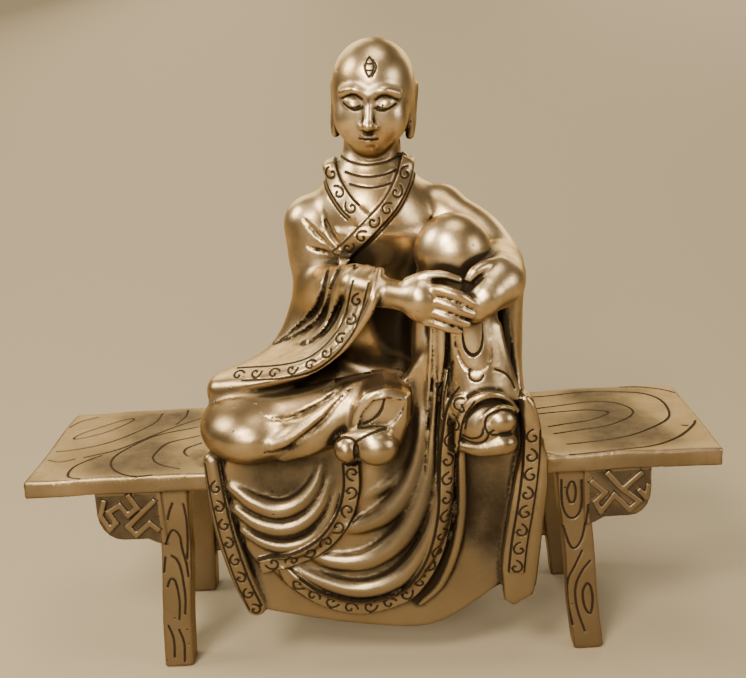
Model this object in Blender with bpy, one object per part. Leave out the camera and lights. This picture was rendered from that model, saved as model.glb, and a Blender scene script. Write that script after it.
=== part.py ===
# A seated arhat on a long bench, in cast bronze. Metres, +Z up, the bench's feet on z = 0.
# The viewer's side is -Y. Two castings: the figure with its robe, and the bench it sits on.

import bmesh
import bpy
import numpy as np
import openvdb

# Driving sizes
BENCH_LENGTH = 0.252
BENCH_DEPTH = 0.072
BENCH_HEIGHT = 0.080
PLANK_THICKNESS = 0.0065
PLANK_BACK_CORNER = 0.005
LEG_WIDTH = 0.011
LEG_DEPTH = 0.010
LEG_TOP_INSET = 0.0482  # from the plank's end to the outer face of a leg, at the plank
LEG_SPLAY = 0.0059  # how far a foot stands further out than the top of its leg
LEG_EDGE_INSET = 0.0022  # from the plank's front or back edge to a leg
BRACKET_REACH = 0.0235
BRACKET_DROP = 0.0192
BRACKET_THICKNESS = 0.0035
BRACKET_EDGE_INSET = 0.0014
FRET_WIDTH = 0.0021
FRET_RISE = 0.0010
STRETCHER_DROP = 0.0530  # from the seat down to the stretcher
STRETCHER_HEIGHT = 0.0095
STRETCHER_THICKNESS = 0.0050
FIGURE_HEIGHT = 0.1475  # from the seat to the crown
FORWARD_REACH = 0.0225  # how far the foremost shoe stands out before the plank's front edge
SEAT_GAP = 0.0003
OVERLAP = 0.0010  # how deep joined pieces of one casting run into each other

# The figure is shaped in its own units: 147.5 from seat to crown, the seat at z = 0 and the
# plank's front edge at y = -36. So its pose, proportions and folds are shares of its height.
CLAY_HEIGHT = 147.5
CLAY_FRONT = -36.0
CLAY_STEP = 1.5  # the grid on which the surface is found
FIGURE_TRIANGLES = 9000
FINE_FACTOR = 0.004
# Boxes of the clay, low and high corners, that keep smaller facets: the face, the hands and the shoes
FINE_REGIONS = (((-12, -30, 104), (26, 0, 138)), ((15, -62, 50), (56, -34, 78)),
                ((-14, -62, 4), (56, -44, 38)))

# The origin is under the middle of the whole object's box, on the ground.
PLANK_FRONT = (FORWARD_REACH - BENCH_DEPTH) / 2
PLANK_BACK = PLANK_FRONT + BENCH_DEPTH
PLANK_BOTTOM = BENCH_HEIGHT - PLANK_THICKNESS

for old in list(bpy.data.objects):
    bpy.data.objects.remove(old)


def bronze(name, colour, roughness, metallic):
    material = bpy.data.materials.new(name)
    material.use_nodes = True
    shader = material.node_tree.nodes["Principled BSDF"]
    shader.inputs["Base Color"].default_value = (*colour, 1)
    shader.inputs["Roughness"].default_value = roughness
    shader.inputs["Metallic"].default_value = metallic
    return material


FIGURE_BRONZE = bronze("polished_bronze", (0.60, 0.47, 0.30), 0.32, 0.9)
BENCH_BRONZE = bronze("bench_bronze", (0.52, 0.38, 0.22), 0.42, 0.85)


def new_object(name, mesh, material):
    made = bpy.data.objects.new(name, mesh)
    made.data.materials.append(material)
    bpy.context.scene.collection.objects.link(made)
    return made


def helper(made):
    """Keeps a cutter or a piece that is joined to another out of the render."""
    made.hide_render = True
    made.display_type = "WIRE"
    return made


# Prisms for the bench


def prism(name, outline, low, high, plane="xz", shift=(0, 0, 0)):
    """An outline in a plane, extruded between two levels of the third axis; shift moves the high end."""
    mesh = bpy.data.meshes.new(name)
    shape = bmesh.new()

    def corner(point, level):
        u, v = point
        return {"xz": (u, level, v), "xy": (u, v, level)}[plane]

    starts = [shape.verts.new(corner(point, low)) for point in outline]
    ends = [shape.verts.new(np.add(corner(point, high), shift)) for point in outline]
    shape.faces.new(starts)
    shape.faces.new(ends[::-1])
    for i, start in enumerate(starts):
        after = (i + 1) % len(starts)
        shape.faces.new((start, ends[i], ends[after], starts[after]))
    bmesh.ops.recalc_face_normals(shape, faces=shape.faces)
    shape.to_mesh(mesh)
    shape.free()
    return mesh


def rectangle(u_low, u_high, v_low, v_high):
    return [(u_low, v_low), (u_high, v_low), (u_high, v_high), (u_low, v_high)]


def arc(centre, radius, start, end, count=6):
    angles = np.radians(np.linspace(start, end, count))
    return [(centre[0] + radius[0] * np.cos(a), centre[1] + radius[1] * np.sin(a)) for a in angles]


def plank():
    half = BENCH_LENGTH / 2
    corner = PLANK_BACK_CORNER
    outline = [(-half, PLANK_FRONT), (half, PLANK_FRONT)]
    outline += arc((half - corner, PLANK_BACK - corner), (corner, corner), 0, 90)
    outline += [(-half, PLANK_BACK)]
    return prism("bench", outline, PLANK_BOTTOM, BENCH_HEIGHT, "xy")


def leg(side, back):
    """A square leg that splays outwards to its foot. back is 0 at the front and 1 at the rear."""
    outer = BENCH_LENGTH / 2 - LEG_TOP_INSET + LEG_SPLAY
    near = PLANK_BACK - LEG_EDGE_INSET - LEG_DEPTH if back else PLANK_FRONT + LEG_EDGE_INSET
    foot = rectangle(side * (outer - LEG_WIDTH), side * outer, near, near + LEG_DEPTH)
    return prism("leg", foot, 0, PLANK_BOTTOM + OVERLAP, "xy", (-side * LEG_SPLAY, 0, 0))


def bracket_outline(side):
    """The stepped bracket beyond a leg: square at the plank, rounded at its outer lower corner."""
    inner = BENCH_LENGTH / 2 - LEG_TOP_INSET
    outer = inner + BRACKET_REACH
    low = PLANK_BOTTOM - BRACKET_DROP
    rounding = (BRACKET_REACH * 0.36, BRACKET_DROP * 0.55)
    points = [(inner - OVERLAP, PLANK_BOTTOM + OVERLAP), (inner - OVERLAP, low - BRACKET_DROP * 0.14)]
    points += [(inner + BRACKET_REACH * 0.10, low - BRACKET_DROP * 0.10),
               (inner + BRACKET_REACH * 0.26, low)]
    points += arc((outer - rounding[0], low + rounding[1]), rounding, -90, 0, 5)
    points += [(outer, PLANK_BOTTOM + OVERLAP)]
    return [(side * u, v) for u, v in points]


# The key fret of each bracket, by side: how far outwards from the leg and down from the plank its
# strips turn, in shares of the bracket's reach
FRETS = {
    -1: (
        ((0.45, 0.06), (0.35, 0.26), (0.51, 0.39), (0.61, 0.21), (0.80, 0.32), (0.71, 0.51), (0.82, 0.61),
         (0.94, 0.37), (0.86, 0.15)),
        ((0.08, 0.16), (0.54, 0.57), (0.43, 0.72), (0.19, 0.53), (0.08, 0.64)),
    ),
    1: (
        ((0.08, 0.19), (0.27, 0.38), (0.12, 0.53), (0.20, 0.70), (0.41, 0.43), (0.64, 0.70), (0.80, 0.56),
         (0.55, 0.35), (0.82, 0.11)),
        ((0.32, 0.08), (0.48, 0.29)),
        ((0.81, 0.39), (0.91, 0.50), (0.94, 0.31)),
    ),
}


def fret_strips(side):
    """Flat strips along the fret's lines, as outlines in x and z."""
    inner = BENCH_LENGTH / 2 - LEG_TOP_INSET
    for line in FRETS[side]:
        spots = np.array([(inner + BRACKET_REACH * out, PLANK_BOTTOM - BRACKET_REACH * down) for out,
                          down in line])
        for start, end in zip(spots, spots[1:]):
            run = (end - start) / np.linalg.norm(end - start) * FRET_WIDTH / 2
            beside = np.array([-run[1], run[0]])
            start, end = start - run, end + run
            strip = [start - beside, end - beside, end + beside, start + beside]
            yield [(side * u, v) for u, v in strip]


def bench():
    made = new_object("bench", plank(), BENCH_BRONZE)
    pieces = bpy.data.collections.new("bench_pieces")
    bpy.context.scene.collection.children.link(pieces)

    def join(name, mesh):
        pieces.objects.link(helper(bpy.data.objects.new(name, mesh)))

    front = PLANK_FRONT + BRACKET_EDGE_INSET
    for side in (-1, 1):
        for back in (0, 1):
            join("leg", leg(side, back))
            near = PLANK_BACK - BRACKET_EDGE_INSET - BRACKET_THICKNESS if back else front
            join("bracket", prism("bracket", bracket_outline(side), near, near + BRACKET_THICKNESS))
        for strip in fret_strips(side):
            join("fret", prism("fret", strip, front - FRET_RISE, front + BRACKET_THICKNESS / 2))
    half = BENCH_LENGTH / 2 - LEG_TOP_INSET
    top = BENCH_HEIGHT - STRETCHER_DROP
    middle = PLANK_BACK - LEG_EDGE_INSET - LEG_DEPTH / 2
    bar = rectangle(-half, half, top - STRETCHER_HEIGHT, top)
    join("stretcher", prism("stretcher", bar, middle - STRETCHER_THICKNESS / 2,
                            middle + STRETCHER_THICKNESS / 2))
    union = made.modifiers.new("one_casting", "BOOLEAN")
    union.operation = "UNION"
    union.operand_type = "COLLECTION"
    union.collection = pieces
    union.solver = "EXACT"
    return made


# The clay: shapes measured by their distance


FAR = 30.0
PAD = 6.0
BLOCK = 9.0


def smooth(points, per_span=5):
    """Points along a smooth line that passes through the given ones."""
    given = np.asarray(points, float)
    ends = np.vstack([2 * given[0] - given[1], given, 2 * given[-1] - given[-2]])
    t = (np.arange(per_span) / per_span)[:, None]
    spans = []
    for a, b, c, d in zip(ends, ends[1:], ends[2:], ends[3:]):
        bend = 2 * a - 5 * b + 4 * c - d
        turn = -a + 3 * b - 3 * c + d
        spans.append(0.5 * (2 * b + (c - a) * t + bend * t**2 + turn * t**3))
    return np.vstack(spans + [given[-1:]])


def even(points, count=5):
    """The same line with a given number of evenly spaced points."""
    line = smooth(points)
    along = np.r_[0, np.cumsum(np.linalg.norm(np.diff(line, axis=0), axis=1))]
    wanted = np.linspace(0, along[-1], count)
    return np.column_stack([np.interp(wanted, along, column) for column in line.T])


def family(first, last, count):
    """Lines that change step by step from the first to the last, both counted."""
    first, last = even(first), even(last)
    return [first + (last - first) * share for share in np.linspace(0, 1, count)]


class Ball:
    def __init__(self, centre, radii, turn=None):
        self.centre = np.array(centre, float)
        self.radii = np.broadcast_to(np.array(radii, float), 3)
        self.turn = turn
        reach = self.radii if turn is None else np.full(3, self.radii.max())
        self.low, self.high = self.centre - reach, self.centre + reach

    def distance(self, p):
        q = p - self.centre
        if self.turn is not None:
            q = q @ self.turn
        q = q / self.radii
        near = np.sqrt((q * q).sum(1))
        slope = np.sqrt(((q / self.radii) ** 2).sum(1))
        return near * (near - 1) / np.maximum(slope, 1e-6)


class Tube:
    """A round rod of changing thickness along a smooth line; flat squeezes it along x, y or z."""

    def __init__(self, points, radii, flat=(1, 1, 1)):
        points = np.asarray(points, float)
        radii = np.broadcast_to(np.asarray(radii, float), len(points))
        line = smooth(np.column_stack([points, radii]))
        self.flat = np.array(flat, float)
        self.line = line[:, :3] / self.flat
        self.radius = line[:, 3]
        reach = self.radius[:, None] * self.flat
        self.low = (line[:, :3] - reach).min(0)
        self.high = (line[:, :3] + reach).max(0)

    def distance(self, p):
        start, run = self.line[:-1], np.diff(self.line, axis=0)
        off = (p / self.flat)[:, None] - start
        t = np.clip((off * run).sum(2) / (run * run).sum(1), 0, 1)
        off -= t[..., None] * run
        radius = self.radius[:-1] + t * np.diff(self.radius)
        return (np.sqrt((off * off).sum(2)) - radius).min(1) * self.flat.min()


class Slab:
    """An outline seen from the front, between two depths, with a rounded edge."""

    plane, deep = [0, 2], 1

    def __init__(self, outline, front, back, rounding=1.2):
        self.outline = np.asarray(outline, float)
        self.middle, self.half = (front + back) / 2, (back - front) / 2 - rounding
        self.rounding = rounding
        self.low, self.high = np.full(3, float(front)), np.full(3, float(back))
        self.low[self.plane], self.high[self.plane] = self.outline.min(0), self.outline.max(0)

    def distance(self, p):
        q = p[:, self.plane]
        run = np.roll(self.outline, -1, 0) - self.outline
        off = q[:, None] - self.outline
        t = np.clip((off * run).sum(2) / (run * run).sum(1), 0, 1)
        best = ((off - t[..., None] * run) ** 2).sum(2).min(1)
        ends = self.outline[:, 1] + run[:, 1]
        spans = (self.outline[:, 1] > q[:, 1:]) != (ends > q[:, 1:])
        slope = run[:, 0] / np.where(run[:, 1] == 0, 1, run[:, 1])
        inside = (spans & (off[..., 0] < off[..., 1] * slope)).sum(1) % 2 == 1
        flat = np.sqrt(best) * np.where(inside, -1, 1) + self.rounding
        thick = np.abs(p[:, self.deep] - self.middle) - self.half
        out = np.sqrt(np.maximum(flat, 0) ** 2 + np.maximum(thick, 0) ** 2)
        return out + np.minimum(np.maximum(flat, thick), 0) - self.rounding


class Trace:
    """A line drawn on the surface as seen from the front; it raises a flat band or cuts a groove.

    A tapered line grows from nothing over that share of its length at both ends.
    """

    plane, deep = [0, 2], 1

    def __init__(self, points, width, rise, reach=9.0, edge=1.0, per_span=5, tapered=0):
        self.line = smooth(points, per_span)
        self.width, self.rise, self.reach, self.edge, self.tapered = width, rise, reach, edge, tapered
        grow = np.full(3, float(width))
        grow[self.deep] = reach
        self.low, self.high = self.line.min(0) - grow, self.line.max(0) + grow

    def gap(self, p):
        """How far each point is from the line's edge and from its depth, and the line's size there."""
        start, run = self.line[:-1, self.plane], np.diff(self.line[:, self.plane], axis=0)
        off = p[:, None, self.plane] - start
        t = np.clip((off * run).sum(2) / np.maximum((run * run).sum(1), 1e-9), 0, 1)
        gap = ((off - t[..., None] * run) ** 2).sum(2)
        nearest = gap.argmin(1)
        share = t[np.arange(len(p)), nearest]
        depth = self.line[nearest, self.deep] + share * np.diff(self.line[:, self.deep])[nearest]
        along = (nearest + share) / len(start)
        size = np.clip(np.minimum(along, 1 - along) / max(self.tapered, 1e-9), 0.01, 1) ** 0.7
        return np.sqrt(gap.min(1)) - self.width / 2 * size, np.abs(p[:, self.deep] - depth), size

    def height(self, p):
        beside, behind, size = self.gap(p)
        side = np.clip(-beside / (self.edge * size), 0, 1)
        fade = np.clip((self.reach - behind) / 2, 0, 1)
        return self.rise * size * side * side * (3 - 2 * side) * fade


def blended(a, b, width):
    """The smaller of two distances, with a rounded corner between them."""
    h = np.maximum(width - np.abs(a - b), 0) / width
    return np.minimum(a, b) - h * h * width / 4


def blocks(p):
    """Groups of neighbouring points, so that only the shapes near a group are measured for it."""
    if not len(p):
        return []
    cell = np.floor(p / BLOCK).astype(int)
    key = (cell[:, 0] * 1000 + cell[:, 1]) * 1000 + cell[:, 2]
    order = np.argsort(key, kind="stable")
    return np.split(order, np.flatnonzero(np.diff(key[order])) + 1)


class Clay:
    """A body built up by adding and cutting shapes in turn. A frame places it: (middle, turn)."""

    def __init__(self, middle=(0, 0, 0), turn=np.eye(3)):
        self.middle, self.turn = np.array(middle, float), np.array(turn, float)
        self.steps = []
        self.boxes = None

    def add(self, shape, blend=1.5):
        self.steps.append(("add", shape, blend))

    def cut(self, shape, blend=0.8):
        self.steps.append(("cut", shape, blend))

    def draw(self, trace):
        self.steps.append(("draw", trace, 0))

    def distance(self, p):
        p = (p - self.middle) @ self.turn
        if self.boxes is None or len(self.boxes[0]) != len(self.steps):
            lows, highs = zip(*((shape.low, shape.high) for _, shape, _ in self.steps))
            self.boxes = np.array(lows) - PAD, np.array(highs) + PAD
        lows, highs = self.boxes
        found = np.full(len(p), FAR)
        for block in blocks(p):
            q = p[block]
            here = np.full(len(q), FAR)
            for index in np.flatnonzero(((lows < q.max(0)) & (highs > q.min(0))).all(1)):
                kind, shape, blend = self.steps[index]
                if kind == "add":
                    here = blended(here, shape.distance(q), blend)
                elif kind == "cut":
                    here = -blended(-here, shape.distance(q), blend)
                else:
                    here = here - shape.height(q)
            found[block] = here
        return found

    @property
    def low(self):
        return self._corners().min(0)

    @property
    def high(self):
        return self._corners().max(0)

    def _corners(self):
        lows = np.array([s.low for k, s, _ in self.steps if k == "add"]).min(0)
        highs = np.array([s.high for k, s, _ in self.steps if k == "add"]).max(0)
        box = np.array([[(lows, highs)[i][0], (lows, highs)[j][1], (lows, highs)[k][2]]
                        for i in (0, 1) for j in (0, 1) for k in (0, 1)])
        return box @ self.turn.T + self.middle


# The figure


def turned(lean, nod, turn):
    """The rotation of a head that leans to +x, nods forward and turns to +x, in degrees."""
    lean, nod, turn = np.radians([lean, nod, turn])
    about_y = np.array([[np.cos(lean), 0, np.sin(lean)], [0, 1, 0], [-np.sin(lean), 0, np.cos(lean)]])
    about_x = np.array([[1, 0, 0], [0, np.cos(nod), -np.sin(nod)], [0, np.sin(nod), np.cos(nod)]])
    about_z = np.array([[np.cos(turn), -np.sin(turn), 0], [np.sin(turn), np.cos(turn), 0], [0, 0, 1]])
    return about_y @ about_x @ about_z


def shifted(line, sideways):
    """A line moved in the plane of x and z, to the left of its own direction seen from the front."""
    line = smooth(line, 3)
    run = np.gradient(line, axis=0)[:, [0, 2]]
    run /= np.linalg.norm(run, axis=1)[:, None]
    return line + sideways * np.column_stack([-run[:, 1], np.zeros(len(run)), run[:, 0]])


def outline(*pieces):
    """The x and z of several lines, end to end."""
    return np.vstack([np.asarray(piece)[:, [0, -1]] for piece in pieces])


def head():
    clay = Clay((7.6, 6.0, 126.5), turned(3.7, 7, -5))
    clay.add(Ball((0, 2.0, 5.5), (15.0, 17.2, 15.4)), 1)
    clay.add(Ball((0, 1.5, -1.5), (14.2, 15.5, 13.0)), 4)
    clay.add(Ball((0, -3.0, -7.0), (12.2, 12.2, 12.0)), 4)
    clay.add(Ball((0, -9.5, -14.5), (6.0, 5.2, 5.2)), 5)
    clay.add(Tube([(0, -14.0, 4.0), (0, -15.9, -1.5), (0, -17.6, -6.2)], [1.2, 1.45, 1.6]), 1.8)
    for side in (-1, 1):
        clay.add(Ball((side * 7.2, -8.3, -6.5), (5.2, 5.2, 6.5)), 4)
        clay.add(Tube([(side * 1.8, -15.2, 3.2), (side * 5.4, -15.2, 4.9), (side * 10.2, -11.6, 3.6)],
                      [0.8, 1.2, 0.9]), 3)
        clay.cut(Ball((side * 5.7, -18.2, 1.2), (4.6, 3.6, 2.9)), 2.5)
        clay.add(Ball((side * 5.6, -11.3, 0.5), (4.2, 3.9, 3.0)), 0.8)
        clay.add(Tube([(side * 2.1, -14.2, 0.3), (side * 5.6, -15.3, -0.3), (side * 9.1, -12.4, 0.5)],
                      [0.35, 0.5, 0.35]), 0.5)
        clay.add(Ball((side * 2.1, -15.2, -7.4), (1.7, 2.0, 1.4)), 1)
        ear = side * 14.5
        clay.add(Tube([(ear, 1.5, 3.4), (ear * 1.02, 4.3, 4.6), (ear * 1.03, 6.2, 1.5), (ear, 4.6, -4.0),
                       (ear * 0.97, 2.2, -9.5), (ear * 0.95, 0.6, -13.4)],
                       [1.2, 1.3, 1.4, 1.5, 1.9, 1.7]), 0.8)
        clay.add(Tube([(ear * 0.97, 0.8, 2.8), (ear * 0.98, 0.6, -4.0), (ear * 0.95, 0.4, -11)],
                      [1.0, 1.1, 1.5]), 0.8)
        clay.add(Ball((ear * 0.93, 3.0, -3.0), (1.3, 3.4, 8.0)), 1.2)
    clay.add(Ball((0, -17.6, -7.0), (2.0, 2.3, 1.7)), 1.2)
    clay.add(Tube([(-3.6, -13.0, -11.6), (-1.1, -15.3, -11.1), (0, -15.2, -11.35), (1.1, -15.3, -11.1),
                   (3.6, -13.0, -11.6)], [0.5, 1.0, 0.9, 1.0, 0.5]), 0.9)
    clay.add(Tube([(-3.0, -13.0, -13.1), (0, -14.9, -13.3), (3.0, -13.0, -13.1)], [0.5, 1.15, 0.5]), 0.9)
    return clay


def torso(clay):
    clay.add(Ball((6, 6, 12), (37, 25, 20)), 1)
    clay.add(Ball((5, 5, 40), (25, 20, 26)), 6)
    clay.add(Ball((4.5, 6, 72), (26.5, 16, 23)), 6)
    clay.add(Ball((17, 3, 76), (12, 14, 12)), 5)
    clay.add(Tube([(-17, 8, 81), (6, 9, 86), (30, 9, 83)], 10.3), 5)
    clay.add(Tube([(5, 9, 80), (5.2, 9, 92), (5.6, 8.5, 99.5)], [24, 17, 13.0]), 4)
    clay.add(Tube([(5.6, 8.5, 93), (6.3, 8.5, 109)], [11.4, 10.6]), 0.8)


def back_robe(clay):
    """The plain robe behind: it hangs from the shoulders in a few soft folds and spreads on the seat."""
    clay.add(Ball((5, 8, 48), (25, 15, 40)), 6)
    clay.add(Ball((5, 12, 70), (21, 13.5, 26)), 9)
    clay.add(Ball((4, 8, 8), (43, 21, 28)), 8)
    for turn in np.radians(np.linspace(-88, 88, 9)):
        side, back = np.sin(turn), np.cos(turn)
        fold = [(5 + 19 * side, 9 + 6 * back, 84), (5 + 22 * side, 8 + 9 * back, 60),
                (5 + 26 * side, 7 + 11 * back, 34),
                (5 + 36 * side, 4 + 17 * back, -3)]
        clay.add(Tube(fold, [6.5, 7.5, 8, 8.5]), 2.5)
    # What fills the lap and the space under the arms.
    clay.add(Ball((10, -16, 4), (30, 24, 17)), 5)
    clay.add(Tube([(-18, 4, 52), (-24, 4, 34), (-34, 0, 14)], [9, 11, 15]), 5)
    clay.add(Tube([(37, 2, 62), (40, -4, 40), (41, -6, 12)], [11, 13, 15]), 5)
    clay.add(Tube([(46, -18, 50), (46, -22, 30), (46, -24, 2)], [7, 8, 11]), 5)
    clay.add(Ball((34, -6, 66), (10, 12, 12)), 5)
    clay.add(Tube([(-9.6, 3, 102), (-9.2, 11, 101.6), (-3.5, 17.5, 100.8), (5, 20, 100.2),
                   (13.5, 17.5, 100.4), (18.2, 11, 101),
                   (18.4, 3, 101.4)], [1.6, 2.2, 2.8, 3, 2.8, 2.2, 1.6]), 2.5)


def legs(clay):
    # The right leg lies folded across, its knee to -x.
    clay.add(Tube([(-2, 0, 14), (-22, -9, 14.5), (-41, -21, 15)], [18, 17, 14.5]), 4)
    clay.add(Ball((-41.5, -26, 15), (19.8, 24.5, 13.2)), 4)
    clay.add(Tube([(-42, -27, 15), (-24, -36.5, 18), (-8, -38, 22.5), (7, -38, 25.5)],
                  [13.0, 12.0, 11.4, 10]), 4)
    # The left leg is raised, its foot below the knee.
    clay.add(Tube([(24, 4, 20), (29, -14, 46), (32, -30, 70)], [17, 14, 11.5]), 4)
    clay.add(Tube([(32.6, -34, 72), (36, -35, 54), (39, -36, 38), (39.8, -37, 26)],
                  [11, 10.8, 11.5, 13]), 3)
    clay.add(Ball((32.4, -34, 76), (13.2, 12.6, 13.4)), 1.5)


def knee_folds(clay):
    """Ridges and creases that run from the lap over the folded shin to the knee."""
    clay.add(Tube([(-3, -40, 31.5), (-13, -44.5, 25), (-24, -47.5, 18), (-33, -48.5, 14.5)],
                  [3.4, 3.8, 3.2, 2]), 2)
    clay.add(Tube([(2, -40, 31), (-9, -45.5, 22.5), (-19, -46.5, 13.5), (-30, -44, 7.5)],
                  [2.2, 3, 3.4, 1.2]), 2.5)
    clay.add(Tube([(12, -36, 34), (2, -36, 33.5), (-8, -36, 31), (-20, -34, 27)], [1.8, 2.2, 2.2, 1.5]), 2)
    for line, width in (([(-4, -40, 35.5), (-12.2, -44, 29.9), (-19.8, -46.5, 25.8),
                          (-28.8, -46.5, 22.8), (-38, -45, 23.6)], 2.4),
                        ([(-2.6, -42, 34), (-9.6, -47, 28.4), (-15, -49, 22.8), (-22.6, -50, 17.4),
                          (-31, -48, 12), (-39, -48, 12.6)], 3.0),
                        ([(4, -38, 35.4), (-6, -41, 34.4), (-15, -42, 30.8)], 2.0),
                        ([(9, -36, 36), (-1, -38, 36.4), (-9, -40, 35.6)], 1.6)):
        clay.draw(Trace(line, width, -1.5, 9, width / 2, tapered=0.45))


def right_arm(clay):
    clay.add(Tube([(-17.5, 7, 81), (-17, 5, 68), (-14, 2, 55)], [10.4, 10.4, 10]), 4)
    clay.add(Tube([(-14, 2, 55), (-9, -16, 60), (-2, -31, 65.5)], [10, 8.5, 6.5]), 4)


SLEEVE_BACK = [(-17, 2, 58), (-19.5, 2, 47), (-26, 0, 36.5), (-38, -5, 29), (-51, -12, 24)]
SLEEVE_EDGE = [(7.4, -41, 72), (5.2, -48.5, 66), (3.0, -48.5, 60.5), (-1.5, -46.5, 53.5),
               (-9, -44.5, 45.5), (-20, -41.5, 38.3),
               (-36.5, -35, 32.5), (-54, -27, 28.5)]
SLEEVE_RIBS = (6, 5.5, 4.8, 4.2, 3.6, 2.8)
SLEEVE_GROOVES = (
    [(4.2, -40, 73.2), (-0.6, -38, 72.2), (-3.6, -38, 68.6), (-6.6, -34, 60), (-9.8, -33, 53),
     (-13.8, -32, 47.6), (-20, -28, 43.4),
     (-29, -23, 39.6)],
    [(-3.8, -35, 72.4), (-7.2, -32, 69.6), (-9.8, -31, 64), (-12, -26, 57.2), (-14.8, -24, 51),
     (-20.4, -19, 45.4), (-28, -13, 41),
     (-37, -10, 37)],
    [(-8.2, -24, 72.6), (-11.4, -25, 67.4), (-13.4, -24, 61), (-17, -17, 53), (-24, -10, 45.4),
     (-33, -6, 39)],
)


def sleeve(clay):
    for line, radius in zip(family(SLEEVE_BACK, SLEEVE_EDGE, len(SLEEVE_RIBS) + 1), SLEEVE_RIBS):
        clay.add(Tube(line, radius), 5)
    band = family(SLEEVE_BACK, SLEEVE_EDGE, 2 * len(SLEEVE_RIBS) + 1)[-2]
    clay.add(Tube(band, 2.0), 3)
    clay.add(Tube(SLEEVE_EDGE, [1.6] * 7 + [1.2]), 1.0)
    for groove in SLEEVE_GROOVES:
        clay.draw(Trace(groove, 3.6, -2.2, 11, 1.8, tapered=0.45))


def left_arm(clay):
    clay.add(Tube([(31, 8, 82), (43, -3, 75.5), (48.6, -16, 68), (48, -28, 67)], [9.8, 9.2, 9.4, 9.2]), 3)
    # The robe falls from this arm to the seat.
    clay.add(Tube([(40, 2, 70), (42, 2, 40), (44, 0, 14)], [11, 13, 14]), 5)
    clay.add(Tube([(52.5, -20, 62), (51.3, -23, 42), (50.8, -27, 24), (52.5, -33, 10)],
                  [5.8, 5.2, 5.4, 6]), 2)
    clay.cut(Tube([(48.4, -38, 58), (49.4, -38, 45), (52.2, -38, 32), (53.6, -38, 22)],
                  [1.2, 2.2, 2.0, 0.9], (1, 6, 1)), 1)
    for line in family([(46, -25, 72), (50, -28, 55), (50, -31, 36), (52, -35, 18)],
                       [(54.5, -16, 66), (56, -20, 50), (55, -22, 34), (55.5, -27, 18)], 3):
        clay.add(Tube(line, 1.5), 1.2)


def hands(clay):
    # The left hand holds the shin; the right comes from its sleeve and lies over it.
    clay.add(Ball((46.2, -42, 66.2), (9.6, 9.5, 8.6)), 1.2)
    clay.add(Tube([(48, -28, 67), (48, -38, 67.2), (43, -48, 64), (38, -50.5, 60)],
                  [8.8, 8.4, 6.6, 4.8]), 2)
    clay.add(Tube([(47, -43, 72.5), (42, -47, 73), (38.5, -49.5, 72), (36.5, -50, 70)],
                  [2.6, 2.3, 1.9, 1.6]), 1)
    clay.add(Tube([(-1, -34, 66), (7, -42, 65.3), (14, -47.5, 64.8), (20, -50.5, 64.2)],
                  [5.8, 5.3, 4.9, 6.2]), 2)
    clay.add(Ball((21.3, -50.8, 63.4), (6.2, 4.6, 7.6)), 2.5)
    clay.add(Tube([(17, -49, 69), (22, -50.5, 71.6), (28, -51, 71.7), (33, -51, 70)],
                  [2.6, 1.9, 1.5, 1.3]), 1.0)
    for line, radius in (
            ([(22.6, -52.6, 67.6), (28, -54.8, 67.4), (33, -55.6, 65.4), (36.8, -54.6, 62.6)], 2.0),
            ([(22.4, -52.8, 64), (27.4, -55, 63.4), (32.4, -55.8, 61.2), (36.6, -54.6, 59.0)], 2.0),
            ([(22, -52.6, 60.4), (26.4, -54.8, 59.6), (31, -55.4, 57.6), (35, -54.4, 55.9)], 1.9),
            ([(21.6, -52, 57), (25.4, -54, 56.2), (29, -54.6, 54.8), (32.4, -53.8, 53.4)], 1.7)):
        clay.add(Tube(line, [radius, radius, radius - 0.15, radius - 0.45]), 0.5)


def right_shoe(clay):
    clay.add(Slab([(-10, 11), (-7, 20), (-4.4, 28), (-0.5, 33), (7, 34.6), (15.4, 31.4), (15, 22),
                   (11.5, 12.5),
                   (5, 8), (-3, 7.2)], -52.5, -34, 4.5), 1.0)
    clay.add(Tube([(-4.8, -50.5, 18), (-2.8, -50.8, 26.5), (1.6, -51, 31.4), (7.8, -50.4, 32.6),
                   (15, -48.5, 30.3)],
                  [1.1, 1.2, 1.2, 1.1, 0.7]), 0.4)
    clay.cut(Slab([(-3.2, 20.4), (-1.1, 26), (2.7, 30.0), (7.9, 30.8), (14, 29.2), (12.4, 25.9),
                   (9.8, 22.6),
                   (6.6, 20.2)], -60, -51.6, 0.3), 0.8)
    clay.add(Tube([(-7.6, -52, 16.2), (0, -53.5, 18.2), (7, -52.5, 18.6)], [2.6, 2.6, 1.6]), 1.6)
    clay.add(Ball((-7.4, -52.5, 13.3), (4.3, 4.8, 4.6)), 0.6)
    clay.add(Ball((3.0, -52.5, 13.4), (7.4, 6.0, 6.4)), 0.6)


ARCH = [(30.6, -49, 10), (31.6, -50.5, 19.5), (35, -51.5, 26.8), (40.8, -51.5, 29.8), (46.8, -49.5, 28),
        (51.6, -45, 21.5)]


def left_shoe(clay):
    clay.add(Ball((41, -44.5, 17.8), (10.6, 11.0, 10.6)), 0.5)
    clay.add(Tube([(38.6, -53, 16.4), (39.6, -54, 22.2), (44.6, -53.5, 25.8), (49.8, -50.5, 24)],
                  [0.9, 1.1, 1.1, 0.9]), 0.8)
    clay.add(Ball((45.4, -51.6, 20.6), (5.4, 4.6, 4.7)), 0.5)
    clay.add(Tube([(32.6, -49.5, 11.2), (38, -52, 11), (45.6, -52, 12.6)], [2.4, 3.6, 5.4],
                  (1, 0.9, 0.8)), 0.7)


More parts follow.
